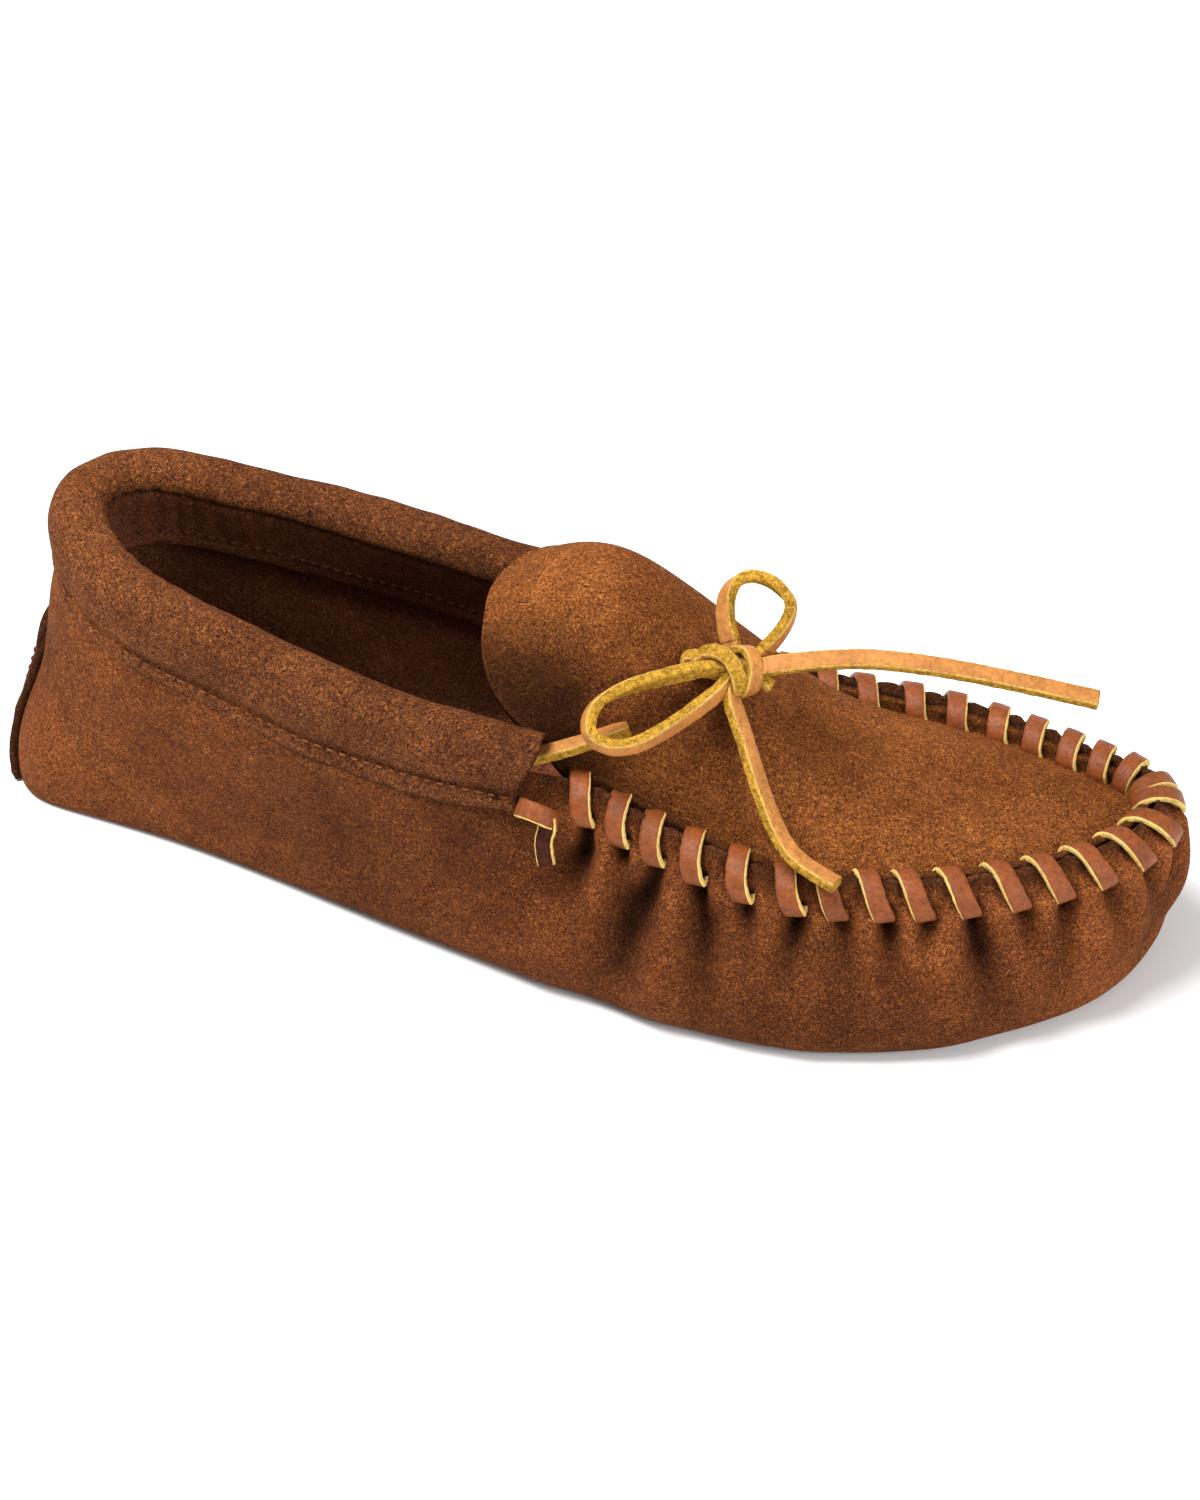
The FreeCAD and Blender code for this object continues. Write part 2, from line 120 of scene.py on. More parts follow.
def smooth(a, b, x):
    """0 below a, 1 above b, eased between."""
    t = np.clip((np.asarray(x, float) - a) / (b - a), 0, 1)
    return t * t * (3 - 2 * t)


def spline(points, at=None, count=400):
    """Points on a natural cubic through points; at gives places as indices of those points."""
    p = np.array(points, float)
    t = np.r_[0, np.cumsum(np.linalg.norm(np.diff(p, axis=0), axis=1))]
    h = np.diff(t)
    n = len(p)
    a = np.zeros((n, n))
    b = np.zeros_like(p)
    a[0, 0] = a[-1, -1] = 1
    for i in range(1, n - 1):
        a[i, i - 1:i + 2] = h[i - 1], 2 * (h[i - 1] + h[i]), h[i]
        b[i] = 6 * ((p[i + 1] - p[i]) / h[i] - (p[i] - p[i - 1]) / h[i - 1])
    m = np.linalg.solve(a, b)
    s = np.linspace(0, t[-1], count) if at is None else np.interp(at, np.arange(n), t)
    k = np.clip(np.searchsorted(t, s, side="right") - 1, 0, n - 2)
    left = (s - t[k])[:, None]
    rest = (t[k + 1] - s)[:, None]
    hk = h[k][:, None]
    return ((m[k + 1] * left ** 3 + m[k] * rest ** 3) / (6 * hk)
            + (p[k + 1] / hk - m[k + 1] * hk / 6) * left + (p[k] / hk - m[k] * hk / 6) * rest)


def lengths(points):
    return np.r_[0, np.cumsum(np.linalg.norm(np.diff(points, axis=0), axis=1))]


def even(points, count):
    """The same polyline with points at equal steps."""
    t = lengths(points)
    s = np.linspace(0, t[-1], count)
    return np.stack([np.interp(s, t, points[:, i]) for i in range(points.shape[1])], 1)


def along_x(points, x, column):
    """A column of a heel-to-toe line, read at x."""
    line = spline(points)
    return np.interp(x, line[:, 0], line[:, column])


def loop_normals(points):
    """Outward horizontal normals of a closed loop that runs outer side, toe, inner side."""
    tangent = np.roll(points, -2, 0) - np.roll(points, 2, 0)
    return unit(np.stack([tangent[:, 1], -tangent[:, 0], np.zeros(len(points))], 1))


def wobble(points, size, seed):
    """Smooth seeded noise in -1..1 at points in millimetres."""
    return np.array([noise.noise(Vector(p) / size + Vector((seed * 7.3, seed * 3.1, seed * 5.7)))
                     for p in np.asarray(points).reshape(-1, 3)]).reshape(np.shape(points)[:-1])


def grid_faces(rows, columns, loop=False):
    faces = []
    for i in range(rows - 1):
        for j in range(columns if loop else columns - 1):
            k = (j + 1) % columns
            faces.append((i * columns + j, i * columns + k,
                          (i + 1) * columns + k, (i + 1) * columns + j))
    return faces


def piece_from(name, points, faces, materials, body, weld=0.0, shade=None, marks=None):
    """A mesh piece in the shared frame that rides on a body; marks are material indices."""
    mesh = bpy.data.meshes.new(name)
    mesh.from_pydata(metres(points).tolist(), [], faces)
    for material in materials:
        mesh.materials.append(material)
    if marks is not None:
        mesh.polygons.foreach_set("material_index", marks)
    if shade is not None:
        layer = mesh.attributes.new("shade", "FLOAT", "POINT")
        layer.data.foreach_set("value", np.asarray(shade, np.float32).ravel())
    if weld:
        bm = bmesh.new()
        bm.from_mesh(mesh)
        bmesh.ops.remove_doubles(bm, verts=bm.verts, dist=weld)
        bmesh.ops.recalc_face_normals(bm, faces=bm.faces)
        bm.to_mesh(mesh)
        bm.free()
    mesh.shade_smooth()
    mesh.update()
    piece = new_object(name, mesh)
    if body:
        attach(piece, body)
    return piece


def closed_rings(rings):
    """Points and faces of a tube of rings with its two ends closed by fans."""
    rings = [np.asarray(r) for r in rings]
    count, columns = len(rings), len(rings[0])
    faces = grid_faces(count, columns, True)
    points = np.concatenate(rings + [rings[0].mean(0)[None], rings[-1].mean(0)[None]])
    first, last = count * columns, count * columns + 1
    for j in range(columns):
        k = (j + 1) % columns
        faces.append((first, k, j))
        faces.append((last, (count - 1) * columns + j, (count - 1) * columns + k))
    return points, faces


# ---- materials ------------------------------------------------------------
def rgb(r, g, b):
    """Display colour 0 to 255 as linear RGBA."""
    return tuple(((c / 255 + 0.055) / 1.055) ** 2.4 if c > 10 else c / 255 / 12.92
                 for c in (r, g, b)) + (1.0,)


def new_material(name, roughness):
    material = bpy.data.materials.new(name)
    material.use_nodes = True
    shader = material.node_tree.nodes["Principled BSDF"]
    shader.inputs["Roughness"].default_value = roughness
    return material, material.node_tree, shader


def node(tree, kind, **settings):
    made = tree.nodes.new(kind)
    for key, value in settings.items():
        if key in made.inputs:
            made.inputs[key].default_value = value
        else:
            setattr(made, key, value)
    return made


def texture(tree, scale, detail, distortion=0.0, stretch=None, seed=0.0):
    """Noise in the shared frame; scale is in features per metre."""
    place = node(tree, "ShaderNodeTexCoord")
    mapping = node(tree, "ShaderNodeMapping")
    mapping.inputs["Scale"].default_value = stretch or (1, 1, 1)
    mapping.inputs["Location"].default_value = (seed, seed * 0.7, -seed)
    tree.links.new(place.outputs["Object"], mapping.inputs["Vector"])
    made = node(tree, "ShaderNodeTexNoise", Scale=scale, Detail=detail, Distortion=distortion)
    made.inputs["Roughness"].default_value = 0.6
    tree.links.new(mapping.outputs["Vector"], made.inputs["Vector"])
    return made.outputs["Fac"]


def ramp(tree, source, stops):
    made = node(tree, "ShaderNodeValToRGB")
    elements = made.color_ramp.elements
    while len(elements) < len(stops):
        elements.new(0.5)
    for element, (position, colour) in zip(elements, stops):
        element.position = position
        element.color = colour
    tree.links.new(source, made.inputs["Fac"])
    return made.outputs["Color"]


def blend_colour(tree, factor, a, b, mode="MIX"):
    made = node(tree, "ShaderNodeMix", data_type="RGBA", blend_type=mode)
    for socket, value in ((made.inputs[0], factor), (made.inputs[6], a), (made.inputs[7], b)):
        if hasattr(value, "is_linked"):
            tree.links.new(value, socket)
        else:
            socket.default_value = value
    return made.outputs[2]


def multiply(tree, base, source, stops):
    """The colour times a ramp over a source."""
    return blend_colour(tree, 1.0, base, ramp(tree, source, stops), "MULTIPLY")


def grey(value):
    return (value, value, value, 1)


def bump(tree, shader, layers):
    """Bump from (source, height in mm) layers, coarse to fine."""
    normal = None
    for source, height in layers:
        made = node(tree, "ShaderNodeBump", Strength=1.0, Distance=height / 1000)
        tree.links.new(source, made.inputs["Height"])
        if normal:
            tree.links.new(normal, made.inputs["Normal"])
        normal = made.outputs["Normal"]
    tree.links.new(normal, shader.inputs["Normal"])


def suede(name, mid, shaded=False, nap=1.0, sheen=0.05, seed=0.0, contrast=1.0):
    """Napped leather: fine fibre speckle with painted glints, brushed patches and broad tone changes."""
    material, tree, shader = new_material(name, 0.95)
    m = np.array(mid, float)
    speck = texture(tree, 1500 * nap, 3, 1.6, None, seed)
    curl = texture(tree, 1000 * nap, 3, 2.6, None, seed + 3)
    glint_spots = texture(tree, 2100 * nap, 2, 0.8, None, seed + 6)
    patch = texture(tree, 120, 4, 0.8, (1, 1, 1.6), seed + 5)
    tone = texture(tree, 22, 3, 0.5, None, seed + 9)
    dark = rgb(*(m * (1 - 0.42 * contrast)))
    light = rgb(*np.minimum(m * (1 + np.array((0.34, 0.42, 0.30)) * contrast) + (6, 6, 3), 255))
    base = ramp(tree, speck, [(0.34, dark), (0.47, rgb(*(m * 0.94))),
                              (0.54, rgb(*(m * 1.05))), (0.66, light)])
    for source, low, high, a, b in ((curl, 0.36, 0.64, 0.58, 1.34), (patch, 0.32, 0.68, 0.84, 1.14),
                                    (tone, 0.35, 0.65, 0.76, 1.16)):
        cool = (a, a * 0.96, a * 0.93, 1)
        warm = (b, b * 1.01, b, 1)
        base = multiply(tree, base, source, [(low, cool), (high, warm)])
    # Painted glints: scattered specks blended towards a brighter colour.
    glint = ramp(tree, glint_spots, [(0.64, (0, 0, 0, 1)), (0.74, (1, 1, 1, 1))])
    base = blend_colour(tree, glint, base, rgb(*np.minimum(m * (1.55, 1.72, 1.6) + 10, 255)))
    if shaded:
        layer = node(tree, "ShaderNodeAttribute", attribute_name="shade")
        base = blend_colour(tree, 1.0, base, layer.outputs["Fac"], "MULTIPLY")
    tree.links.new(base, shader.inputs["Base Color"])
    shader.inputs["Specular IOR Level"].default_value = 0.08
    shader.inputs["Sheen Weight"].default_value = sheen
    shader.inputs["Sheen Roughness"].default_value = 0.5
    shader.inputs["Sheen Tint"].default_value = rgb(*np.minimum(m * (1.7, 1.4, 1.0), 255))
    rough = ramp(tree, curl, [(0.3, grey(0.99)), (0.7, grey(0.88))])
    tree.links.new(rough, shader.inputs["Roughness"])
    bump(tree, shader, [(patch, 0.35), (curl, 0.42), (speck, 0.30)])
    return material


def thong(name, mid, rough=0.45, spread=0.25, fuzz=0.1, seed=0.0, long_grain=None):
    """Cut leather strip face: smooth with fine creases, or fibrous when fuzz is high."""
    material, tree, shader = new_material(name, rough)
    m = np.array(mid, float)
    grain = texture(tree, 900, 4, 0.6, long_grain, seed)
    fibre = texture(tree, 1700, 3, 1.5, None, seed + 2)
    tone = texture(tree, 110, 3, 0.5, None, seed + 4)
    base = ramp(tree, grain, [(0.3, rgb(*(m * (1 - spread)))), (0.5, rgb(*m)),
                              (0.72, rgb(*np.minimum(m * (1 + spread * 0.7), 255)))])
    base = multiply(tree, base, tone, [(0.3, (0.80, 0.77, 0.74, 1)), (0.68, (1.12, 1.12, 1.1, 1))])
    if fuzz > 0.3:
        base = multiply(tree, base, fibre, [(0.3, (0.50, 0.44, 0.36, 1)), (0.5, (1, 1, 1, 1)),
                                            (0.7, (1.2, 1.22, 1.25, 1))])
    tree.links.new(base, shader.inputs["Base Color"])
    shader.inputs["Specular IOR Level"].default_value = 0.25 if rough < 0.6 else 0.08
    shine = ramp(tree, tone, [(0.3, grey(rough + 0.12)), (0.7, grey(rough - 0.06))])
    tree.links.new(shine, shader.inputs["Roughness"])
    bump(tree, shader, [(grain, 0.12 + 0.3 * fuzz), (fibre, 0.05 + 0.6 * fuzz)])
    return material


HIDE_BODY = suede("suede_body", (102, 55, 28), True, 1.0, 0.05, 0.0, 1.3)
HIDE_APRON = suede("suede_apron", (130, 74, 37), True, 1.0, 0.05, 1.7, 1.25)
HIDE_COLLAR = suede("suede_collar", (98, 55, 31), True, 0.85, 0.06, 3.1, 1.4)
HIDE_TAB = suede("suede_tab", (82, 44, 24), False, 0.9, 0.05, 4.3, 1.2)
HIDE_INSIDE = suede("suede_inside", (104, 60, 40), True, 0.9, 0.05, 6.4)
HIDE_LINING = suede("suede_lining", (112, 62, 42), False, 0.9, 0.05, 5.9)
RAW_EDGE = suede("raw_edge", (76, 42, 25), False, 1.1, 0.05, 7.7, 1.5)
FOAM = suede("pad_felt", (196, 186, 160), False, 1.2, 0.1, 8.8, 0.5)
LACE_GRAIN = thong("lace_grain", (184, 122, 60), 0.5, 0.16, 0.1, 0.3)
LACE_FLESH = thong("lace_flesh", (190, 144, 52), 0.92, 0.34, 0.8, 1.3)
LACE_PALE = thong("lace_pale", (206, 164, 86), 0.85, 0.16, 0.4, 2.3)
WHIP_GRAIN = thong("whip_grain", (130, 68, 30), 0.42, 0.2, 0.1, 3.3)
WHIP_FLESH = thong("whip_flesh", (196, 160, 96), 0.9, 0.3, 0.7, 4.3)
WHIP_CUT = thong("whip_cut", (226, 192, 112), 0.85, 0.14, 0.3, 5.3)
WHIP_DARK = thong("whip_dark", (70, 36, 24), 0.85, 0.3, 0.6, 6.3)
THREAD_LIGHT = thong("thread_light", (134, 80, 48), 0.7, 0.25, 0.3, 7.3)
THREAD_DARK = thong("thread_dark", (96, 56, 38), 0.7, 0.25, 0.3, 8.3)

# ---- cords ----------------------------------------------------------------
ROUTES = {
    "lace_feed_outer": [(142.5, -32, 56), (150, -29.5, 58.8), (156, -26.5, 61.3), (162, -21.5, 62.6)],
    "lace_feed_inner": [(142.5, 30.6, 55.2), (150, 30.6, 58), (156, 29.4, 60.9), (162, 26, 63)],
    "bow_loop_outer": [(174.6, -12.5, 76.5), (163, -20, 75), (155.5, -28, 72.5),
                       (156.5, -34, 67), (166, -33.5, 65.5), (175.5, -22, 69),
                       (180, -14.2, 71.8)],
    "bow_loop_inner": [(179.3, -2, 78.5), (175, 2, 85), (179, 5.5, 92.8), (186.5, 7, 92),
                       (193.5, 5.5, 85.5), (187.5, -0.5, 77.6)],
    "lace_end_front": [(189.5, -5, 76.6), (204, 2, 78.6), (222, 8.5, 77.2), (242, 14.6, 73.7),
                       (261, 20, 69.7)],
    "lace_end_side": [(184.4, -12.8, 69.2), (189, -17, 63.8), (195, -23.5, 56.6), (202.5, -30.5, 49.6),
                      (210, -35.5, 47.3), (219, -37.3, 46.3)],
    "whip_end_outer": [(144.5, -41.5, 47.5), (148, -42.5, 51), (151.5, -43.5, 47.5),
                       (150, -45, 42.5), (151.5, -45.5, 37)],
    "whip_end_inner": [(144.5, 41.5, 47.5), (148, 42.5, 51), (151.5, 43.5, 47.5),
                       (150, 45, 42.5), (151.5, 45.5, 37)],
}


def route_line(name, points):
    """Smooth line of a cord: a NURBS spline with the route's points, read back in millimetres."""
    curve = bpy.data.curves.new(name + "_route", "CURVE")
    curve.dimensions = "3D"
    curve.resolution_u = 24
    line = curve.splines.new("NURBS")
    line.points.add(len(points) - 1)
    for point, place in zip(line.points, metres(points)):
        point.co = (*place, 1)
    line.order_u = 3
    line.use_endpoint_u = True
    holder = bpy.data.objects.new(name + "_route", curve)
    mesh = bpy.data.meshes.new_from_object(holder)
    found = np.array([v.co for v in mesh.vertices]) * 1000 + (MID_X, MID_Y, 0)
    bpy.data.objects.remove(holder)
    bpy.data.meshes.remove(mesh)
    return found


def ribbon(name, line, faces_up, width, thick, materials, body, seed=0, ragged=0.12, step=0.45,
           bevel=0.35, swap_at=1.0):
    """Flat leather strip along a line; faces_up are grain-side directions spread over its length.
    Materials are grain face, corner line, cut edge, flesh face, then the other edge and corner;
    the two edges change places at a share of the length."""
    count = max(12, int(lengths(line)[-1] / step))
    line = even(line, count)
    tangent = unit(np.gradient(line, axis=0))
    hints = np.array(faces_up, float)
    share = np.linspace(0, len(hints) - 1, count)
    face = np.stack([np.interp(share, np.arange(len(hints)), hints[:, i]) for i in range(3)], 1)
    face = unit(face - (face * tangent).sum(1, keepdims=True) * tangent)
    side = np.cross(tangent, face)
    w, t = width / 2, thick / 2
    b = min(bevel, t * 0.6)
    top = [(x, t) for x in np.linspace(-w + b, w - b, 6)]
    right = [(w, h) for h in np.linspace(t - b, -t + b, 4)]
    section = np.array(top + right + [(-x, -h) for x, h in top] + [(-x, -h) for x, h in right])
    kinds = [0] * 5 + [5] + [4] * 4 + [3] * 5 + [2] * 4 + [1]
    swapped = [{1: 5, 2: 4, 4: 2, 5: 1}.get(k, k) for k in kinds]
    coarse = np.array([0.25] * 6 + [1.0] * 4 + [1.0] * 6 + [1.0] * 4)
    height = section[:, 1] - 0.02 * section[:, 0] ** 2
    rings = (line[:, None] + section[None, :, 0, None] * side[:, None]
             + height[None, :, None] * face[:, None])
    fuzz = wobble(rings, 0.55, seed + 1) * coarse
    rings = rings + (wobble(rings, 1.3, seed + 2) + 0.9 * fuzz)[..., None] * side[:, None] * ragged
    rings = rings + (wobble(rings, 2.6, seed + 3) * 0.8 + 0.8 * fuzz)[..., None] * face[:, None] * ragged
    points, quads = closed_rings(rings)
    marks = [k for i in range(count - 1) for k in (kinds if i < swap_at * count else swapped)]
    marks += [2] * (2 * len(section))
    if len(materials) == 4:
        materials = materials + [materials[2], materials[1]]
    return piece_from(name, points, quads, materials, body, marks=marks)


def seen(right, up, back):
    """Direction given by its shares to the right, up and towards the viewer of the front view."""
    return right * RIGHT + up * UP + back * BACK


LACE = [LACE_GRAIN, LACE_PALE, LACE_FLESH, LACE_FLESH]
LACE_TURNED = [LACE_FLESH, LACE_PALE, LACE_PALE, LACE_GRAIN]
WHIP = [WHIP_GRAIN, WHIP_CUT, WHIP_CUT, WHIP_FLESH]
LACING = WHIP + [WHIP_GRAIN, WHIP_GRAIN]
BAND_LEATHER = [WHIP_GRAIN, WHIP_GRAIN, WHIP_GRAIN, WHIP_FLESH, WHIP_CUT, WHIP_CUT]
LACE_WIDE, LACE_THICK = 4.3, 2.6
lace_faces = {
    "lace_feed_outer": [seen(-0.3, 1, 0.9), seen(-0.3, 1, 0.9), seen(-0.3, 1, 0.7), seen(0, 1, 0.4)],
    "lace_feed_inner": [seen(0, 1, -0.3), seen(0, 1, 0)],
    "bow_loop_outer": [seen(-0.1, 0.8, -0.6), seen(-0.2, 0.9, -0.45), seen(-1, 0.4, 0.1),
                       seen(-0.6, -0.8, 0.4), seen(0.2, -1, 0.55), seen(0.5, -0.8, 0.6),
                       seen(0.5, -0.7, 0.7)],
    "bow_loop_inner": [seen(-0.7, 0, 1), seen(-1, 0, 0.9), seen(-0.3, 1, -0.15), seen(0.6, 0.7, -0.1),
                       seen(1, -0.2, 0.3), seen(0.6, -0.8, 0.5)],
    "lace_end_front": [seen(0.1, 0.35, 1), seen(0, 0.4, 1), seen(0, 0.6, 1), seen(0, 0.6, 1)],
    "lace_end_side": [seen(1, 0.2, 1), seen(1, 0.3, 1), seen(0.9, 0.5, 1), seen(0.4, 0.9, 0.9),
                      seen(0.2, 1, 0.8)],
}
cord_bodies = {"bow_loop_outer": "loop_outer", "bow_loop_inner": "loop_inner",
               "lace_end_front": "end_front", "lace_end_side": "end_side"}


def root(name, line, hints, body):
    """The strand's hidden start, from inside the knot to where it comes out."""
    start, ahead = line[0], unit(line[1] - line[0])
    inner = KNOT + (start - KNOT) * 0.15
    bend = start - ahead * np.linalg.norm(start - inner) * 0.5
    share = np.linspace(0, 1, 24)[:, None]
    path = (1 - share) ** 2 * inner + 2 * share * (1 - share) * bend + share ** 2 * (start + ahead * 0.4)
    made = ribbon(name, path, [hints, hints], LACE_WIDE * 0.94, LACE_THICK * 0.94, LACE, body, 3, 0.1)
    return made


for seed, name in enumerate(n for n in ROUTES if not n.startswith("whip")):
    points = ROUTES[name]
    line = route_line(name, points)
    strand = ribbon(name + "_thong", line, lace_faces[name], LACE_WIDE, LACE_THICK, LACE,
                    cord_bodies.get(name, "shoe"), seed * 3)
    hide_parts(name)
    if name in cord_bodies:
        roots = [root(name + "_root", line, lace_faces[name][0], cord_bodies[name])]
        if "loop" in name:
            roots.append(root(name + "_return", line[::-1], lace_faces[name][-1], cord_bodies[name]))

# The whip thong's two ends: a short band and, under it, the tail.
for side_name, mirror in (("outer", 1), ("inner", -1)):
    flip = np.array((1, mirror, 1))
    line = route_line("whip_end_" + side_name, ROUTES["whip_end_" + side_name])
    tail_hint = [np.array((0.1, -1, 0.4)) * flip] * 3
    tail = ribbon("whip_tail_" + side_name, line[int(len(line) * 0.30):], tail_hint, 4.3, 1.3,
                  [WHIP_DARK, WHIP_CUT, WHIP_CUT, WHIP_FLESH], "shoe", 31, 0.12, 0.4, 0.5)
    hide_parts("whip_end_" + side_name)
    band_line = spline(np.array([(142.8, -40.2, 47.4), (144.2, -43.2, 50.0), (147.6, -44.8, 51.2),
                                 (150.8, -44.2, 50.0), (152.2, -41.2, 46.8)]) * flip)
    band_hints = np.array([(-0.8, -0.6, 0.7), (-0.4, -0.8, 0.8), (0.1, -0.9, 0.8),
                           (0.5, -0.8, 0.8), (0.8, -0.5, 0.7)]) * flip
    band = ribbon("whip_band_" + side_name, band_line, band_hints, 4.6, 1.4, BAND_LEATHER,
                  "shoe", 33, 0.12)

# ---- outline loops of the body ----------------------------------------------
SIDE_STEPS = 270


def outline(outer, inner):
    """Closed outline from the heel along the outer side to the toe and back on the inner side."""
    ring = outer + inner[-2:0:-1]
    wrapped = ring[-4:] + ring + ring[:5]
    toe, end = 4 + len(outer) - 1, 4 + len(ring)
    first = even(spline(wrapped, np.linspace(4, toe, 1500)), SIDE_STEPS + 1)
    second = even(spline(wrapped, np.linspace(toe, end, 1500)), SIDE_STEPS + 1)
    return np.concatenate([first[:-1], second[:-1]])


rim = outline(RIM_OUTER, RIM_INNER)
foot = outline([(x, y, 0) for x, y in SOLE_OUTER], [(x, y, 0) for x, y in SOLE_INNER])
rim_out = loop_normals(rim)
foot_out = loop_normals(foot)
columns = len(rim)

# Seam of the whip lacing: from the outer collar end round the toe to the inner collar end.
WRAP_X_OUTER = (154, 164, 173.5, 183.5, 194, 205, 214.5, 223.5, 232.5, 241.5, 250.5, 259, 266.5, 272.5)
WRAP_X_INNER = (273.5, 266.5, 258.5, 250, 241, 231.5, 221, 210, 199.5, 190, 180.5, 171, 162)
WRAP_Y_TOE = (16.5, 25)
start_column = int(np.argmin(np.linalg.norm(rim[:SIDE_STEPS] - (151, -32.6, 51.6), axis=1)))
stop_column = SIDE_STEPS + int(np.argmin(np.linalg.norm(rim[SIDE_STEPS:] - (155, 33.6, 50.4), axis=1)))
seam = rim[start_column:stop_column + 1]
seam_lengths = lengths(seam)
behind = lengths(rim[:start_column + 1])
rim_place = np.concatenate([behind - behind[-1], seam_lengths[1:],
                            seam_lengths[-1] + lengths(rim[stop_column:])[1:]])
toe_column = SIDE_STEPS - start_column


def seam_place(column, value, first, last):
    """Length along the seam where a coordinate of the ridge has a value."""
    part = slice(first, last)
    gap = np.abs(seam[part, column] - value)
    return seam_lengths[part][int(np.argmin(gap))]


tops = np.array([seam_place(0, x, 0, toe_column) for x in WRAP_X_OUTER]
                + [seam_place(1, y, toe_column - 25, toe_column + 15) for y in WRAP_Y_TOE]
                + [seam_place(0, x, toe_column, len(seam)) for x in WRAP_X_INNER])
WRAPS = len(tops)
HOLE_AHEAD = 3.6
holes = tops + HOLE_AHEAD


# ---- body ------------------------------------------------------------------
def body_section(i):
    """Outside of the wall at a column: points in rows from the sole up to the ridge."""
    x = foot[i][0]
    radius = 1.4 + 6.1 * float(np.clip(x / 200, 0, 1)) ** 0.7
    rows = [foot[i] - foot_out[i] * radius * (1 - math.sin(a)) + (0, 0, radius * (1 - math.cos(a)))
            for a in np.radians((0, 22.5, 45, 67.5, 90))]
    shoulder = rim[i] + rim_out[i] * 5.7 + (0, 0, -7.8)
    bulge = 1.0 + 2.0 * float(np.clip((x - 150) / 70, 0, 1))
    belly = rows[-1] * 0.55 + shoulder * 0.45 + foot_out[i] * bulge
    control = rows + [belly, shoulder, rim[i] + rim_out[i] * 3.3 + (0, 0, -3.2), rim[i]]
    places = np.concatenate([np.linspace(0, 4, 9)[:-1], np.linspace(4, 5, 15)[:-1],
                             np.linspace(5, 6, 15)[:-1], np.linspace(6, 8, 17)])
    return spline(control, places)


outside = np.array([body_section(i) for i in range(columns)]).transpose(1, 0, 2)
rows_out = len(outside)


def sheet_normals(grid, loop):
    """Unit normals of a grid by central differences."""
    up = np.gradient(grid, axis=0)
    side = (np.roll(grid, -1, 1) - np.roll(grid, 1, 1)) if loop else np.gradient(grid, axis=1)
    return unit(np.cross(side, up))


out_normal = sheet_normals(outside, True)
inside = outside - out_normal * HIDE
inside[..., 2] = np.maximum(inside[..., 2], HIDE)

# Gathers: the hide is pulled in at the holes and stands out between them.
place = rim_place[None, :] * np.ones((rows_out, 1))
drop = rim[None, :, 2] - outside[..., 2]
front = smooth(-7, 4, place) * (1 - smooth(seam_lengths[-1] - 4, seam_lengths[-1] + 7, place))
number = np.arange(WRAPS)
slant = 0.24 * np.sin(2.1 * number + 0.5)
reach_down = 12 + 8 * np.sin(1.7 * number + 1.0) ** 2 + 7 * np.exp(-((number - 3) / 2.5) ** 2)
pull = 1.0 + 0.45 * np.sin(2.9 * number)
below = np.clip(drop - 6.5, 0, None)[..., None]
beside_hole = place[..., None] - holes - slant * below
valley_width = 1.7 + below * 0.15
valley = np.exp(-(beside_hole / valley_width) ** 2)
fading = np.exp(-below / reach_down)
start_in = smooth(2.5, 6.5, drop)
valleys = (valley * fading * pull).sum(-1)
pocket = np.exp(-(beside_hole / 1.9) ** 2).sum(-1) * np.exp(-((drop - 6.8) / 2.4) ** 2)
pillow = (1 - np.clip(valley.sum(-1), 0, 1)) * np.exp(-np.clip(drop - 7, 0, None) / 12)
move = -3.0 * valleys * start_in - 1.4 * pocket + 2.3 * pillow * start_in
ridge_bump = 1 - np.exp(-((place[..., None] - tops - 0.5) / 2.6) ** 2).sum(-1)
move += (0.7 * ridge_bump - 0.5 * (1 - ridge_bump)) * np.exp(-(drop / 3.5) ** 2)
# Longer folds: place along the seam, lean, half width, depth in or out, and how far down they fade.
FOLDS = [(8, -0.75, 4.6, -3.6, 30), (16, -0.40, 4.6, 3.2, 30), (25, -0.30, 4.0, -3.4, 26),
         (33, -0.20, 4.4, 2.2, 24), (41, -0.12, 4.2, -3.0, 24), (63, 0.15, 4.6, -2.2, 20),
         (84, 0.10, 4.6, 1.6, 18), (98, 0.12, 4.6, -2.4, 20)]
lower = np.clip(drop - 10, 0, None)
for where, lean, wide_by, deep, fade_by in FOLDS:
    fade = smooth(6, 14, drop) * np.exp(-np.clip(drop - 14, 0, None) / fade_by)
    for at, turn in ((where, 1), (seam_lengths[-1] - where, -1)):
        gap = (place - at - turn * lean * lower) / (wide_by + 0.10 * lower)
        move += deep * np.exp(-gap ** 2) * fade
move *= front * smooth(-5, 14, outside[..., 2])
off_floor = smooth(2, 9, outside[..., 2])
move += wobble(outside, 26, 11) * 1.2 * off_floor
move += wobble(outside * (1, 1, 0.5), 9, 13) * 0.35 * off_floor
outside = outside + out_normal * move[..., None]
inside = inside + out_normal * np.minimum(move * smooth(12, 3, drop) * 0.8, move + 0.4)[..., None]
ridge_wave = (1.5 * ridge_bump + 0.7 * wobble(outside, 2.0, 17)) * front
outside[..., 2] += ridge_wave * np.exp(-(drop / 2.0) ** 2)
lip = (outside[-1] + inside[-1]) / 2 + (0, 0, 0.35)
lip_rows = np.array([outside[-1] * 0.78 + inside[-1] * 0.22 + (0, 0, 0.3), lip,
                     outside[-1] * 0.22 + inside[-1] * 0.78 + (0, 0, 0.25)])
inner_rows = np.concatenate([inside[-1][None], inside[::-1][2::2]])
body_grid = np.concatenate([outside, lip_rows, inner_rows])
shade = np.ones(body_grid.shape[:2])
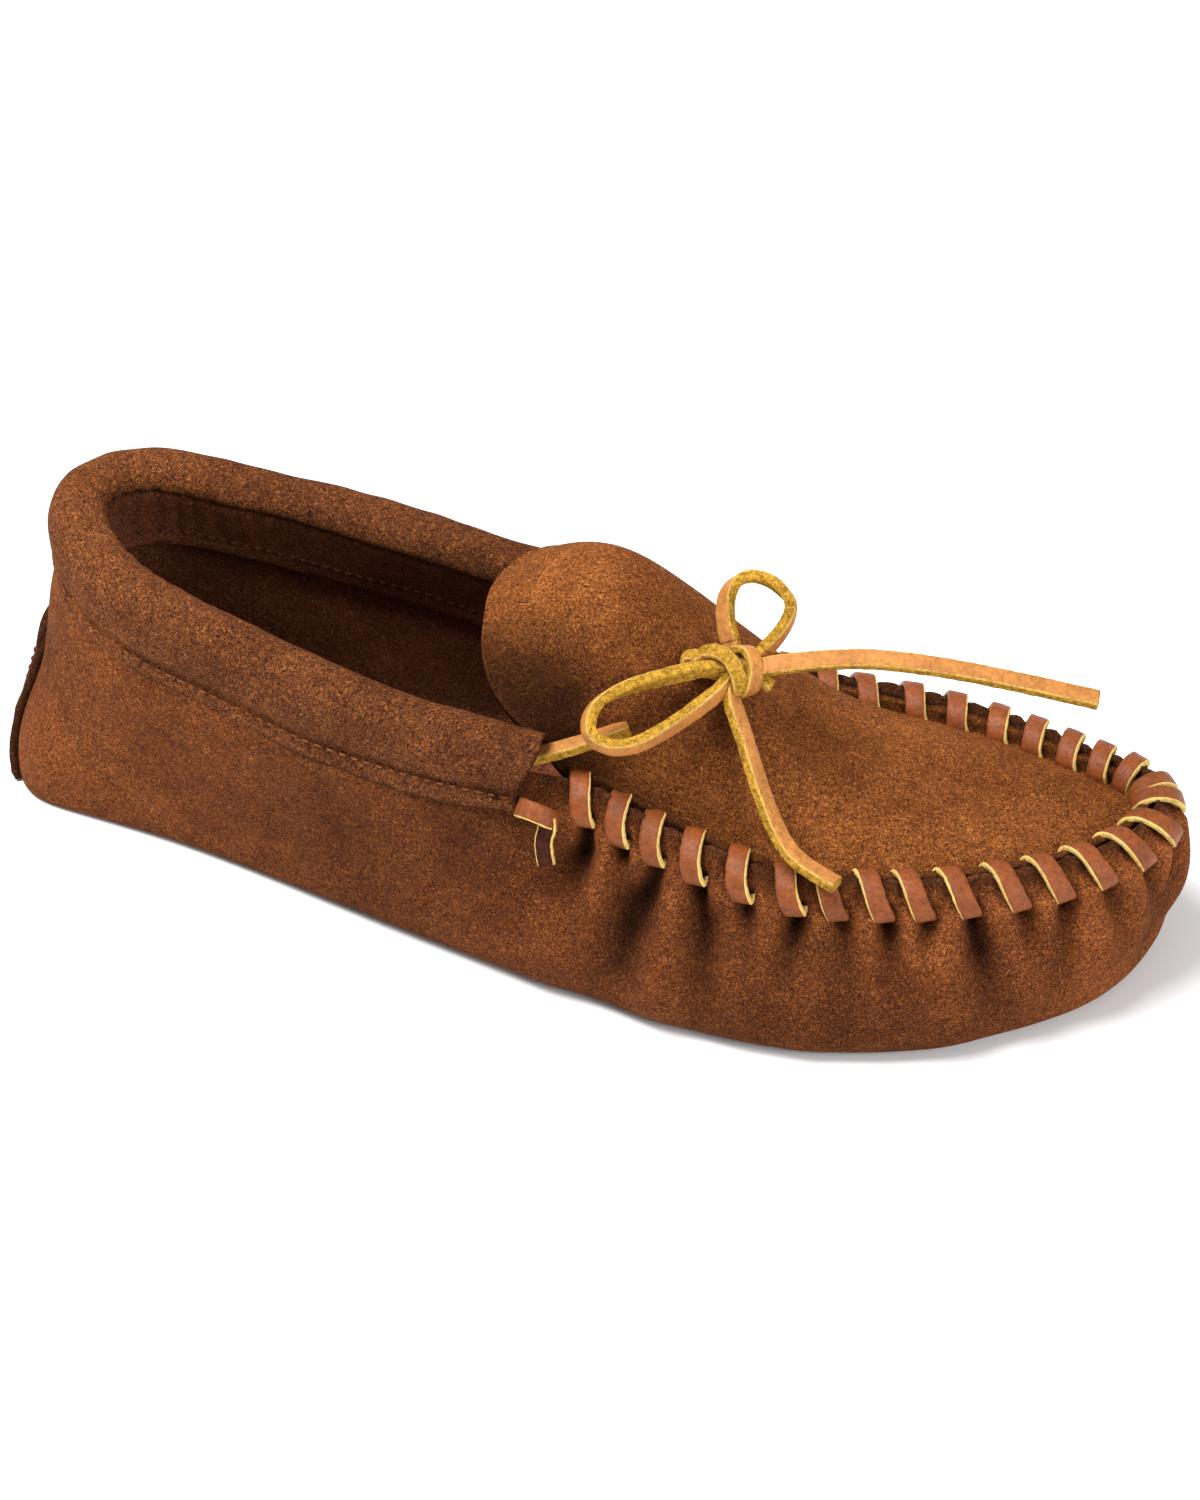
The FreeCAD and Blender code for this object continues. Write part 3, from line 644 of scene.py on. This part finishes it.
# Painted shade in the gathers' valleys and pockets and painted highlight on their crests; painted light on
# the heel end and the toe and painted shade on the middle of the wall; the ridge's top darker along the
# seam with random lighter flecks on it, and the wall darker near the floor.
fold_depth_for_shade = np.clip(move, -4.5, 3.5)
painted_valley_shade = (1 - 0.6 * np.clip(pocket, 0, 1) * front) * (1 + 0.18 * np.minimum(fold_depth_for_shade, 0))
painted_crest_highlight = 1 + 0.16 * np.maximum(fold_depth_for_shade, 0)
along_foot = outside[..., 0]
painted_valley_shade *= 1 + 0.35 * smooth(70, -5, along_foot) - 0.14 * np.exp(-((along_foot - 95) / 30) ** 2)
painted_valley_shade *= 1 + 0.5 * smooth(252, 278, along_foot)
shade[:rows_out] = painted_valley_shade * painted_crest_highlight
shade[:rows_out] *= 1 - 0.55 * np.exp(-(drop / 2.2) ** 4) * front
shade[:rows_out] *= 1 + 0.5 * np.clip(wobble(outside, 1.1, 71), 0, 1) * np.exp(-(drop / 2.5) ** 2) * front
shade[:rows_out] *= 1 - 0.15 * smooth(6, 0.5, outside[..., 2])
shade[rows_out:rows_out + 3] = 0.42
total_rows = len(body_grid)
points = body_grid.reshape(-1, 3)
faces = grid_faces(total_rows, columns, True)
SOLE_RINGS = (0.25, 0.55, 0.85)
sole_low, sole_high = body_grid[0], body_grid[-1]
rings_in = [sole_low + (sole_low.mean(0) - sole_low) * s for s in SOLE_RINGS]
rings_up = [sole_high + (sole_high.mean(0) - sole_high) * s for s in SOLE_RINGS]


def add_sole(points, faces, shade, first_row, rings, flip):
    """Close the sole inside its outline with shrinking rings and a middle point."""
    before = first_row
    for ring in rings:
        start = len(points)
        points = np.concatenate([points, ring])
        shade = np.r_[shade, np.full(len(ring), shade[first_row])]
        for j in range(columns):
            k = (j + 1) % columns
            quad = (before + j, start + j, start + k, before + k)
            faces.append(quad if flip else quad[::-1])
        before = start
    points = np.concatenate([points, rings[-1].mean(0)[None]])
    shade = np.r_[shade, shade[first_row]]
    for j in range(columns):
        k = (j + 1) % columns
        triangle = (before + j, len(points) - 1, before + k)
        faces.append(triangle if flip else triangle[::-1])
    return points, faces, shade


flat_shade = shade.reshape(-1)
points, faces, flat_shade = add_sole(points, faces, flat_shade, 0, rings_in, True)
points, faces, flat_shade = add_sole(points, faces, flat_shade, (total_rows - 1) * columns,
                                     rings_up, False)
at_seam = (rim_place > -6) & (rim_place < seam_lengths[-1] + 6)
marks = [1 if i > rows_out + 2 else 2 * int(i > rows_out - 4 and at_seam[j])
         for i in range(total_rows - 1) for j in range(columns)]
sole_faces = (len(SOLE_RINGS) + 1) * columns
marks += [0] * sole_faces + [1] * sole_faces
body = piece_from("body_hide", points, faces, [HIDE_BODY, HIDE_INSIDE, RAW_EDGE], "shoe",
                  shade=flat_shade, marks=marks)
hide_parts("body_wrap")


def wall_at(column, height):
    """Point and outward normal on the body's outside at a column and a height."""
    j = column % columns
    line = outside[:, j]
    share = np.interp(height, line[:, 2], np.arange(rows_out))
    k = int(min(share, rows_out - 2))
    t = share - k
    return line[k] * (1 - t) + line[k + 1] * t, unit(out_normal[k, j])


# ---- collar -----------------------------------------------------------------
COLLAR_END_X = 142.0
COLLAR_STEPS = 300
SECTION_STEPS = 96
Z = np.array((0, 0, 1))
outer_side = rim[:SIDE_STEPS][rim[:SIDE_STEPS, 0] <= COLLAR_END_X]
inner_side = rim[SIDE_STEPS:][rim[SIDE_STEPS:, 0] <= COLLAR_END_X]
collar_line = even(np.concatenate([outer_side[::-1], inner_side[::-1]]), COLLAR_STEPS)
collar_tangent = unit(np.gradient(collar_line, axis=0))
collar_out = unit(np.stack([-collar_tangent[:, 1], collar_tangent[:, 0], np.zeros(COLLAR_STEPS)], 1))
COLLAR_SECTION = [(7.2, 1.0), (7.2, -2.6), (6.8, -5.6), (6.1, -7.4), (6.3, -8.3), (7.0, -9.2), (7.2, -11.0),
                  (6.8, -12.2), (6.0, -11.9), (5.5, -9.6), (3.8, -8.4), (1.4, -8.8),
                  (1.7, -11.6), (2.2, -15.0), (2.4, -18.5), (1.8, -19.4), (1.0, -18.6), (0.2, -15.5),
                  (-1.3, -11.0), (-3.0, -6.0), (-4.5, -1.8), (-5.0, 0.6), (-5.4, 2.1), (-6.4, 2.7),
                  (-6.9, 4.1), (-6.3, 6.3), (-4.9, 8.2), (-2.7, 9.5), (0.3, 9.9), (3.7, 8.6), (6.2, 5.4)]
section_loop = spline(COLLAR_SECTION[-4:] + COLLAR_SECTION + COLLAR_SECTION[:5],
                      np.linspace(4, 4 + len(COLLAR_SECTION), SECTION_STEPS + 1)[:-1])
collar_place = lengths(collar_line)
collar_total = collar_place[-1]
from_end = np.minimum(collar_place, collar_total - collar_place)
flap = 1.0 * smooth(110, 20, from_end) - 2.0 * smooth(90, 150, from_end) - 0.8 * smooth(12, 0, from_end)
raised = 4.8 * smooth(62, 0, from_end)
rings = []
ring_shade = []
for i in range(COLLAR_STEPS):
    o = section_loop[:, 0].copy()
    z = section_loop[:, 1].copy()
    z = z - np.where(o > 4.5, np.clip(-8.6 - z, 0, 2.6) / 2.6 * flap[i], 0)
    z = z + raised[i] * smooth(0, -7, z) * smooth(3.0, 5.0, o)
    to_toe = 1 if i > COLLAR_STEPS // 2 else -1
    forward = collar_tangent[i] * to_toe * 4.5 * float(smooth(16, 0, from_end[i]))
    rings.append(collar_line[i] + o[:, None] * collar_out[i] + z[:, None] * Z
                 + np.clip(z / 9, 0, 1)[:, None] * forward)
    # Painted shade in the topstitch groove, along the flap's lower edge and in a crease line on the inner
    # side.
    outward = smooth(3.5, 5.5, o)
    dark = 1 - 0.34 * np.exp(-((z + 8.0 - raised[i]) / 0.9) ** 2) * outward
    hem = raised[i] - flap[i] - 11.0
    dark *= 1 - 0.6 * smooth(hem, hem - 1.0, z) * outward
    dark *= 1 - 0.55 * np.exp(-((z - 1.7) / 0.9) ** 2) * (o < -4)
    ring_shade.append(dark)
rings = np.array(rings)
# Painted light: the collar lighter towards the heel.
ring_shade = np.array(ring_shade) * (1 + 0.35 * smooth(60, 5, rings[..., 0]))
ring_normal = sheet_normals(rings, True)
back = COLLAR_STEPS // 2
if (ring_normal[back] * (rings[back] - rings[back].mean(0))).sum() < 0:
    ring_normal = -ring_normal
puff = wobble(rings, 24, 21) * 0.9 + wobble(rings * (1, 1, 0.6), 8, 23) * 0.35
heel_bend = np.exp(-((collar_place - collar_total / 2) / 38) ** 2)
pucker = np.sin(collar_place * 1.15 + 0.8 * np.sin(collar_place * 0.37))
puff += (heel_bend * pucker)[:, None] * 0.35 * (section_loop[:, 0] < 0)
rings = rings + ring_normal * puff[..., None]


def inner_ring(i, shift):
    """Inside of the folded leather at an end of the collar, moved along the roll."""
    centre = collar_line[i] + (0, 0, -0.5)
    ring = rings[i]
    inward = unit(ring - centre)
    keep = np.where((section_loop[:, 1] < -8.4)[:, None], 0.25, 1.5)
    return ring - inward * keep + collar_tangent[i] * shift


ends = [inner_ring(0, s) for s in (6.0, 3.0, 0.15)]
tails = [inner_ring(COLLAR_STEPS - 1, s) for s in (-0.15, -3.0, -6.0)]
all_rings = ends + list(rings) + tails
end_shade = [np.full(SECTION_STEPS, tone) for tone in (0.3, 0.35, 0.5)]
ring_shade[0] *= 0.6
ring_shade[-1] *= 0.6
all_shade = np.concatenate(end_shade + list(ring_shade) + end_shade[::-1])
points, faces = closed_rings(all_rings)
lined = ((section_loop[:, 1] < 1.4) & (section_loop[:, 0] < 3.0)).astype(int).tolist()
marks = lined * (len(all_rings) - 1) + [0] * (2 * SECTION_STEPS)
collar = piece_from("collar_leather", points, faces, [HIDE_COLLAR, HIDE_INSIDE], "shoe",
                    shade=np.r_[all_shade, 0.3, 0.3], marks=marks)
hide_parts("collar_cuff")

pad_rings = []
turn = np.linspace(0, 2 * math.pi, 25)[:-1]
for i in range(3, COLLAR_STEPS - 3, 6):
    oval = (collar_line[i] + (4.4 * np.cos(turn) + 0.5)[:, None] * collar_out[i]
            + (6.2 * np.sin(turn) + 1.4)[:, None] * Z)
    pad_rings.append(oval + wobble(oval, 5, 31)[:, None] * 0.2)
points, faces = closed_rings(pad_rings)
pad = piece_from("collar_pad", points, faces, [FOAM], "shoe")
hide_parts("collar_padding")


# ---- stitching --------------------------------------------------------------
def thread_row(name, centres, directions, normals, length, radius, material, node_name):
    """Short threads that dip into the leather at both ends, as one piece."""
    steps, sides = 7, 6
    points, faces = [], []
    for centre, ahead, normal in zip(centres, directions, normals):
        side = np.cross(ahead, normal)
        start = len(points)
        for k in range(steps):
            t = 2 * k / (steps - 1) - 1
            rise = radius * 0.7 * (1 - t * t) - radius * 1.1 * t ** 4
            middle = centre + ahead * t * length / 2 + normal * rise
            swell = radius * (1 - 0.35 * t ** 4)
            for a in range(sides):
                turn = a * 2 * math.pi / sides
                points.append(middle + side * swell * math.cos(turn) + normal * swell * math.sin(turn))
        tube = grid_faces(steps, sides, True)
        faces += [tuple(start + corner for corner in face) for face in tube]
        faces.append(tuple(start + a for a in range(sides))[::-1])
        faces.append(tuple(start + (steps - 1) * sides + a for a in range(sides)))
    made = piece_from(name, np.array(points), faces, [material], "shoe")
    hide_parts(node_name)


def collar_row(section_index, lift):
    """Places of stitches along the collar at one point of its section."""
    line = rings[:, section_index] + ring_normal[:, section_index] * lift
    count = int(collar_total / 2.9)
    spots = even(line, count)
    ahead = unit(np.gradient(spots, axis=0))
    k = np.linspace(0, COLLAR_STEPS - 1, count).round().astype(int)
    return spots[1:-1], ahead[1:-1], ring_normal[k, section_index][1:-1]


groove = int(np.argmin(np.hypot(section_loop[:, 0] - 6.35, section_loop[:, 1] + 8.4)))
inner_row = int(np.argmin(np.hypot(section_loop[:, 0] + 0.2, section_loop[:, 1] + 13.6)))
spots, ahead, normals = collar_row(groove, 0.1)
thread_row("collar_topstitch", spots, ahead, normals, 1.8, 0.26, THREAD_LIGHT,
           "collar_outer_stitching")
spots, ahead, normals = collar_row(inner_row, 0.1)
thread_row("collar_inner_stitch", spots, ahead, normals, 1.9, 0.32, THREAD_DARK,
           "collar_inner_stitching")

# ---- heel tab -----------------------------------------------------------------
TAB_TOP, TAB_HALF = 36.0, 14.5
TAB_ROWS, TAB_COLUMNS = 40, 31
rim_step = lengths(foot[:40])[-1] / 39
reach = int(round(TAB_HALF / rim_step))
tab_rings = []
for height in np.linspace(0.8, TAB_TOP, TAB_ROWS):
    row_front, row_back = [], []
    wide_by = 1.03 + 0.85 * (1 - height / TAB_TOP)
    for offset in np.linspace(-reach, reach, TAB_COLUMNS) * wide_by:
        j = int(round(offset))
        here, _ = wall_at(j, max(height, 2.0))
        beside, _ = wall_at(j + (1 if offset > j else -1), max(height, 2.0))
        here = here + (beside - here) * abs(offset - j)
        here[2] = height
        normal = foot_out[j % columns]
        near_side = max(0.0, (abs(offset) / reach / wide_by - 0.75) * 4)
        corner = near_side * max(0.0, (height - TAB_TOP + 4) / 4)
        lift = 2.2 + 0.3 * float(wobble([here], 5, 41)[0]) - 1.0 * float(smooth(3, 0, height))
        down = np.array((0, 0, -1.4 * corner ** 2))
        row_front.append(here + normal * lift + down)
        row_back.append(here + normal * 0.12 + down)
    ring = np.array(row_front + row_back[::-1])
    tab_rings.append(ring + wobble(ring, 1.6, 43)[:, None] * 0.12)
points, faces = closed_rings(tab_rings)
marks = []
for i in range(len(tab_rings) - 1):
    marks += [int(j % TAB_COLUMNS == TAB_COLUMNS - 1 or i > TAB_ROWS - 3)
              for j in range(2 * TAB_COLUMNS)]
marks += [1] * (4 * TAB_COLUMNS)
tab = piece_from("heel_tab_hide", points, faces, [HIDE_TAB, RAW_EDGE], "shoe", marks=marks)
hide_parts("heel_tab")

spots, ahead, normals = [], [], []
for column, low, high, lift in ((-reach + 3, 8, 33, 1.95), (reach - 3, 8, 33, 1.95), (0, 38, 58, 0.0)):
    for height in np.arange(low, high, 3.2):
        here, normal = wall_at(column, height)
        above, _ = wall_at(column, height + 1)
        spots.append(here + normal * lift)
        ahead.append(unit(above - here))
        normals.append(normal)
thread_row("heel_stitches", spots, ahead, normals, 2.2, 0.35, THREAD_DARK,
           "heel_stitching")

# ---- apron and tongue, one sheet ----------------------------------------------
LIP_INSET = 4.3
RIDGE = 3.5
outer_seam = (rim - rim_out * LIP_INSET)[:SIDE_STEPS]
inner_seam = (rim - rim_out * LIP_INSET)[SIDE_STEPS:][::-1]
outer_seam = outer_seam[outer_seam[:, 0] > 156][::8]
inner_seam = inner_seam[inner_seam[:, 0] > 156][::8]
toe_point = (rim - rim_out * LIP_INSET)[SIDE_STEPS]
TONGUE_OUTER = [(121, 1), (121.4, -5), (122.8, -11), (125.2, -18), (129.3, -23.3),
                (135.5, -26.3), (143, -27.6), (150, -28)]
TONGUE_INNER = [(121, 1), (123, 6), (126.8, 12), (133, 18.5), (141, 23.5), (149.5, 27.2)]
SPAN = 170


def sheet_side(tongue_part, seam_part):
    """Edge of the sheet from the tongue's tip to the toe, heel to toe."""
    line = [(p[0], p[1], 0) for p in [*tongue_part, *seam_part[:-1], toe_point]]
    return even(spline(line, count=3000), SPAN)


edge_outer = sheet_side(TONGUE_OUTER, outer_seam)
edge_inner = sheet_side(TONGUE_INNER, inner_seam)
spine_x = np.interp(np.linspace(0, 1, SPAN), [0, 0.05, 0.95, 1], [136, 140, 250, 256])
spine_y = np.interp(spine_x, [118, 140, 170, 200, 230, 262], [2, 1, 2, 4, 8, 18])
spine = np.stack([spine_x, spine_y, spine_x * 0], 1)
line_outer = spline(RIM_OUTER[7:])
line_inner = spline(RIM_INNER[7:])


def sheet_height(x, y):
    """Height of the domed sheet."""
    held = np.clip(x, 143, 264)
    far = np.interp(held, line_inner[:, 0], line_inner[:, 1])
    near = np.interp(held, line_outer[:, 0], line_outer[:, 1])
    across = (y - (far + near) / 2) / ((far - near) / 2 - RIDGE)
    power = 2.4 + 0.6 * smooth(-0.2, 0.3, across)
    crown = along_x(CROWN, x, 1)
    edge = along_x(APRON_EDGE, x, 1)
    return edge + (crown - edge) * (1 - np.clip(np.abs(across), 0, 1.15) ** power)


HALF = 44
share = 1 - (1 - np.linspace(0, 1, HALF + 1)) ** 1.25
left = spine[:, None] + (edge_outer - spine)[:, None] * share[None, :, None]
right = spine[:, None] + (edge_inner - spine)[:, None] * share[None, :, None]
sheet = np.concatenate([left[:, ::-1], right[:, 1:]], 1)
sheet[..., 2] = sheet_height(sheet[..., 0], sheet[..., 1])
sheet[..., 2] += wobble(sheet, 34, 51) + wobble(sheet, 12, 53) * 0.35


def lip_columns(edge_points, toward, ridge):
    """Columns that turn the sheet's edge up against the body."""
    columns_made = []
    for k, (out, rise) in enumerate(((0.35, 0.12), (0.55, 0.35), (0.6, 0.62), (0.65, 0.85), (0.7, 1.0))):
        wave = 0.4 * wobble(edge_points, 2.6, 61 + k) * smooth(0, 4, ridge)
        lift = (ridge * rise + wave * rise)[:, None] * Z
        columns_made.append(edge_points + toward * out + lift)
    return columns_made


out_dir = unit((edge_outer - spine) * (1, 1, 0))
in_dir = unit((edge_inner - spine) * (1, 1, 0))
up_outer = 4.3 * smooth(150, 160, edge_outer[:, 0])
up_inner = 3.6 * smooth(150, 160, edge_inner[:, 0])
outer_lip = lip_columns(sheet[:, 0], out_dir, up_outer)
inner_lip = lip_columns(sheet[:, -1], in_dir, up_inner)
sheet = np.concatenate([np.stack(outer_lip[::-1], 1), sheet, np.stack(inner_lip, 1)], 1)
sheet_up = unit(np.cross(np.gradient(sheet, axis=0), np.gradient(sheet, axis=1)))
if sheet_up[SPAN // 2, sheet.shape[1] // 2, 2] < 0:
    sheet_up = -sheet_up
under = sheet - sheet_up * HIDE
wide = sheet.shape[1]
sheet_x, sheet_y = sheet[..., 0], sheet[..., 1]
top_shade = 0.93 + 0.16 * np.exp(-(((sheet_x - 146) / 24) ** 2 + ((sheet_y - 2) / 15) ** 2))
top_shade *= 1 - 0.28 * np.exp(-(((sheet_x - 172) / 16) ** 2 + ((sheet_y + 16) / 13) ** 2))
top_shade *= 1 - 0.80 * smooth(-9, -24, sheet_y) * smooth(166, 148, sheet_x)
top_shade *= 1 + 0.16 * smooth(0, 20, sheet_y) * smooth(170, 200, sheet_x)
lip_mask = np.zeros(wide)
lip_mask[:5] = lip_mask[-5:] = 1
along_seam = smooth(150, 158, sheet_x)
top_shade *= 1 - 0.45 * lip_mask[None] * along_seam
light_edge = np.zeros(wide)
light_edge[[0, 1, -2, -1]] = 1
top_shade *= 1 + 0.9 * light_edge[None] * (1 - along_seam)
sheet_rings = np.concatenate([sheet, under[:, ::-1]], 1)
shades = np.concatenate([top_shade, top_shade[:, ::-1] * 0.7], 1)
points = sheet_rings.reshape(-1, 3)
faces = grid_faces(SPAN, 2 * wide, True)
apron = piece_from("apron_and_tongue", points, faces, [HIDE_APRON], None, weld=0.00002, shade=shades)
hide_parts("apron", "tongue_flap")
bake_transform(apron)

# ---- whip lacing ----------------------------------------------------------------
WRAP_SHAPE = [(3.4, -6.6, 3.3), (5.9, -5.6, 3.0), (6.1, -3.4, 2.1), (4.4, -0.5, 0.9), (0.3, 1.4, -0.2),
              (-3.9, 0.3, -1.3), (-5.4, -2.4, -2.0), (-4.4, -5.2, -2.4), (-1.0, -7.4, -0.6)]


seam_out = rim_out[start_column:stop_column + 1]


def on_seam(place):
    """Point of the ridge and its outward direction at a length along the seam."""
    here = [np.interp(place, seam_lengths, seam[:, i]) for i in range(3)]
    out = [np.interp(place, seam_lengths, seam_out[:, i]) for i in range(3)]
    return np.array(here), unit(out)


coil, coil_face = [], []
for top in tops:
    for out_by, up_by, along in WRAP_SHAPE[::-1]:
        here, out = on_seam(top + along)
        coil.append(here + out * out_by + Z * up_by)
        coil_face.append(unit(coil[-1] - here + Z * 4.4))
FINE = 6
coil_line = spline(coil, np.arange((len(coil) - 1) * FINE + 1) / FINE)
coil_at = lengths(coil_line)[::FINE]
coil_spots = np.linspace(0, coil_at[-1], 4 * len(coil))
coil_hints = np.stack([np.interp(coil_spots, coil_at, np.array(coil_face)[:, i]) for i in range(3)], 1)
lacing = ribbon("whip_thong", coil_line, coil_hints, 4.8, 1.5, LACING, "shoe", seed=91, ragged=0.12,
                step=0.55, bevel=0.3, swap_at=0.22)
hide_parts("whip_lacing")


# ---- knot -----------------------------------------------------------------------
def around_knot(offsets):
    return np.array([KNOT + r * RIGHT + u * UP + b * BACK for r, u, b in offsets])


BAND = [(-9.0, 3.0, 0.0), (-6.5, 4.6, 2.0), (-3.2, 4.2, 3.9), (-0.4, 1.4, 4.9), (1.0, -2.2, 4.2),
        (1.3, -4.9, 1.8), (0.4, -5.2, -1.5)]
TURN = [(0.6, 5.0, -1.0), (2.8, 5.0, 1.8), (4.3, 2.8, 3.6), (4.6, -0.6, 3.8), (3.8, -3.9, 2.6),
        (2.2, -5.0, -0.6)]
BIGHT = [(-3.0, 0.8, 1.5), (-7.5, 3.0, 0.8), (-11.0, 3.4, -0.2), (-11.4, 1.4, -1.2),
         (-7.5, 0.2, -1.5), (-3.0, -0.5, -1.0)]
NUB = [(2.5, -0.5, -0.5), (6.0, -1.6, 0.8), (8.4, -3.4, 0.4)]
for name, offsets, wide_by, thick_by, kinds, seed in (
        ("knot_band", BAND, 3.4, 1.7, LACE_TURNED, 71), ("knot_turn", TURN, 3.9, 1.8, LACE, 73),
        ("knot_bight", BIGHT, 3.0, 1.7, LACE_TURNED, 75), ("knot_nub", NUB, 3.2, 2.0, LACE_TURNED, 77)):
    places = around_knot(offsets)
    outward = [unit(p - KNOT + 2.0 * BACK) for p in places]
    ribbon(name, spline(places), outward, wide_by, thick_by, kinds, "shoe",
                             seed, 0.16, 0.35)
core_rings = []
turn = np.linspace(0, 2 * math.pi, 33)[:-1]
for t in np.linspace(-1, 1, 15):
    size = 3.6 * math.sqrt(max(0.05, 1 - t * t * 0.93)) * (1 + 0.10 * np.cos(4 * turn + 2 * t))
    core_rings.append(KNOT + t * 4.6 * RIGHT + (size * np.cos(turn))[:, None] * UP * 0.9
                      + (size * np.sin(turn))[:, None] * BACK * 0.8)
points, faces = closed_rings(core_rings)
core = piece_from("knot_core", points, faces, [LACE_FLESH], "shoe")
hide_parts("bow_knot")


# ---- carried-over CAD pieces --------------------------------------------------------
def dress(name, material):
    """Give a carried-over CAD node its procedural material."""
    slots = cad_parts[name].data.materials
    slots.clear()
    slots.append(material)


dress("insole_cover", HIDE_LINING)
dress("insole_foam", FOAM)
dress("collar_lace", LACE_GRAIN)

# ---- floor and light -----------------------------------------------------------------
floor_mesh = bpy.data.meshes.new("floor")
floor_mesh.from_pydata([(-6, -6, 0), (6, -6, 0), (6, 6, 0), (-6, 6, 0)], [], [(0, 1, 2, 3)])
floor = new_object("floor", floor_mesh)
floor_material, _, floor_shader = new_material("studio_floor", 0.9)
floor_shader.inputs["Base Color"].default_value = (0.93, 0.93, 0.93, 1)
floor_shader.inputs["Specular IOR Level"].default_value = 0.0
floor_mesh.materials.append(floor_material)
floor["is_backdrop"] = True

world = bpy.data.worlds.new("studio")
bpy.context.scene.world = world
world.use_nodes = True
world.node_tree.nodes["Background"].inputs["Color"].default_value = (1, 1, 1, 1)
world.node_tree.nodes["Background"].inputs["Strength"].default_value = 0.42


def softbox(name, position, target, size, power):
    data = bpy.data.lights.new(name, "AREA")
    data.shape = "DISK"
    data.size = size
    data.energy = power
    lamp = new_object(name, data)
    lamp.location = position
    lamp.rotation_mode = "QUATERNION"
    lamp.rotation_quaternion = (Vector(target) - Vector(position)).to_track_quat("-Z", "Y")


softbox("key", (-0.5, -0.2, 1.2), (0, 0, 0.03), 0.85, 26)
softbox("fill", (1.25, -0.45, 0.75), (0.05, 0, 0.03), 0.7, 13)
bpy.context.scene.view_settings.view_transform = "Standard"

low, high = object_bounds()
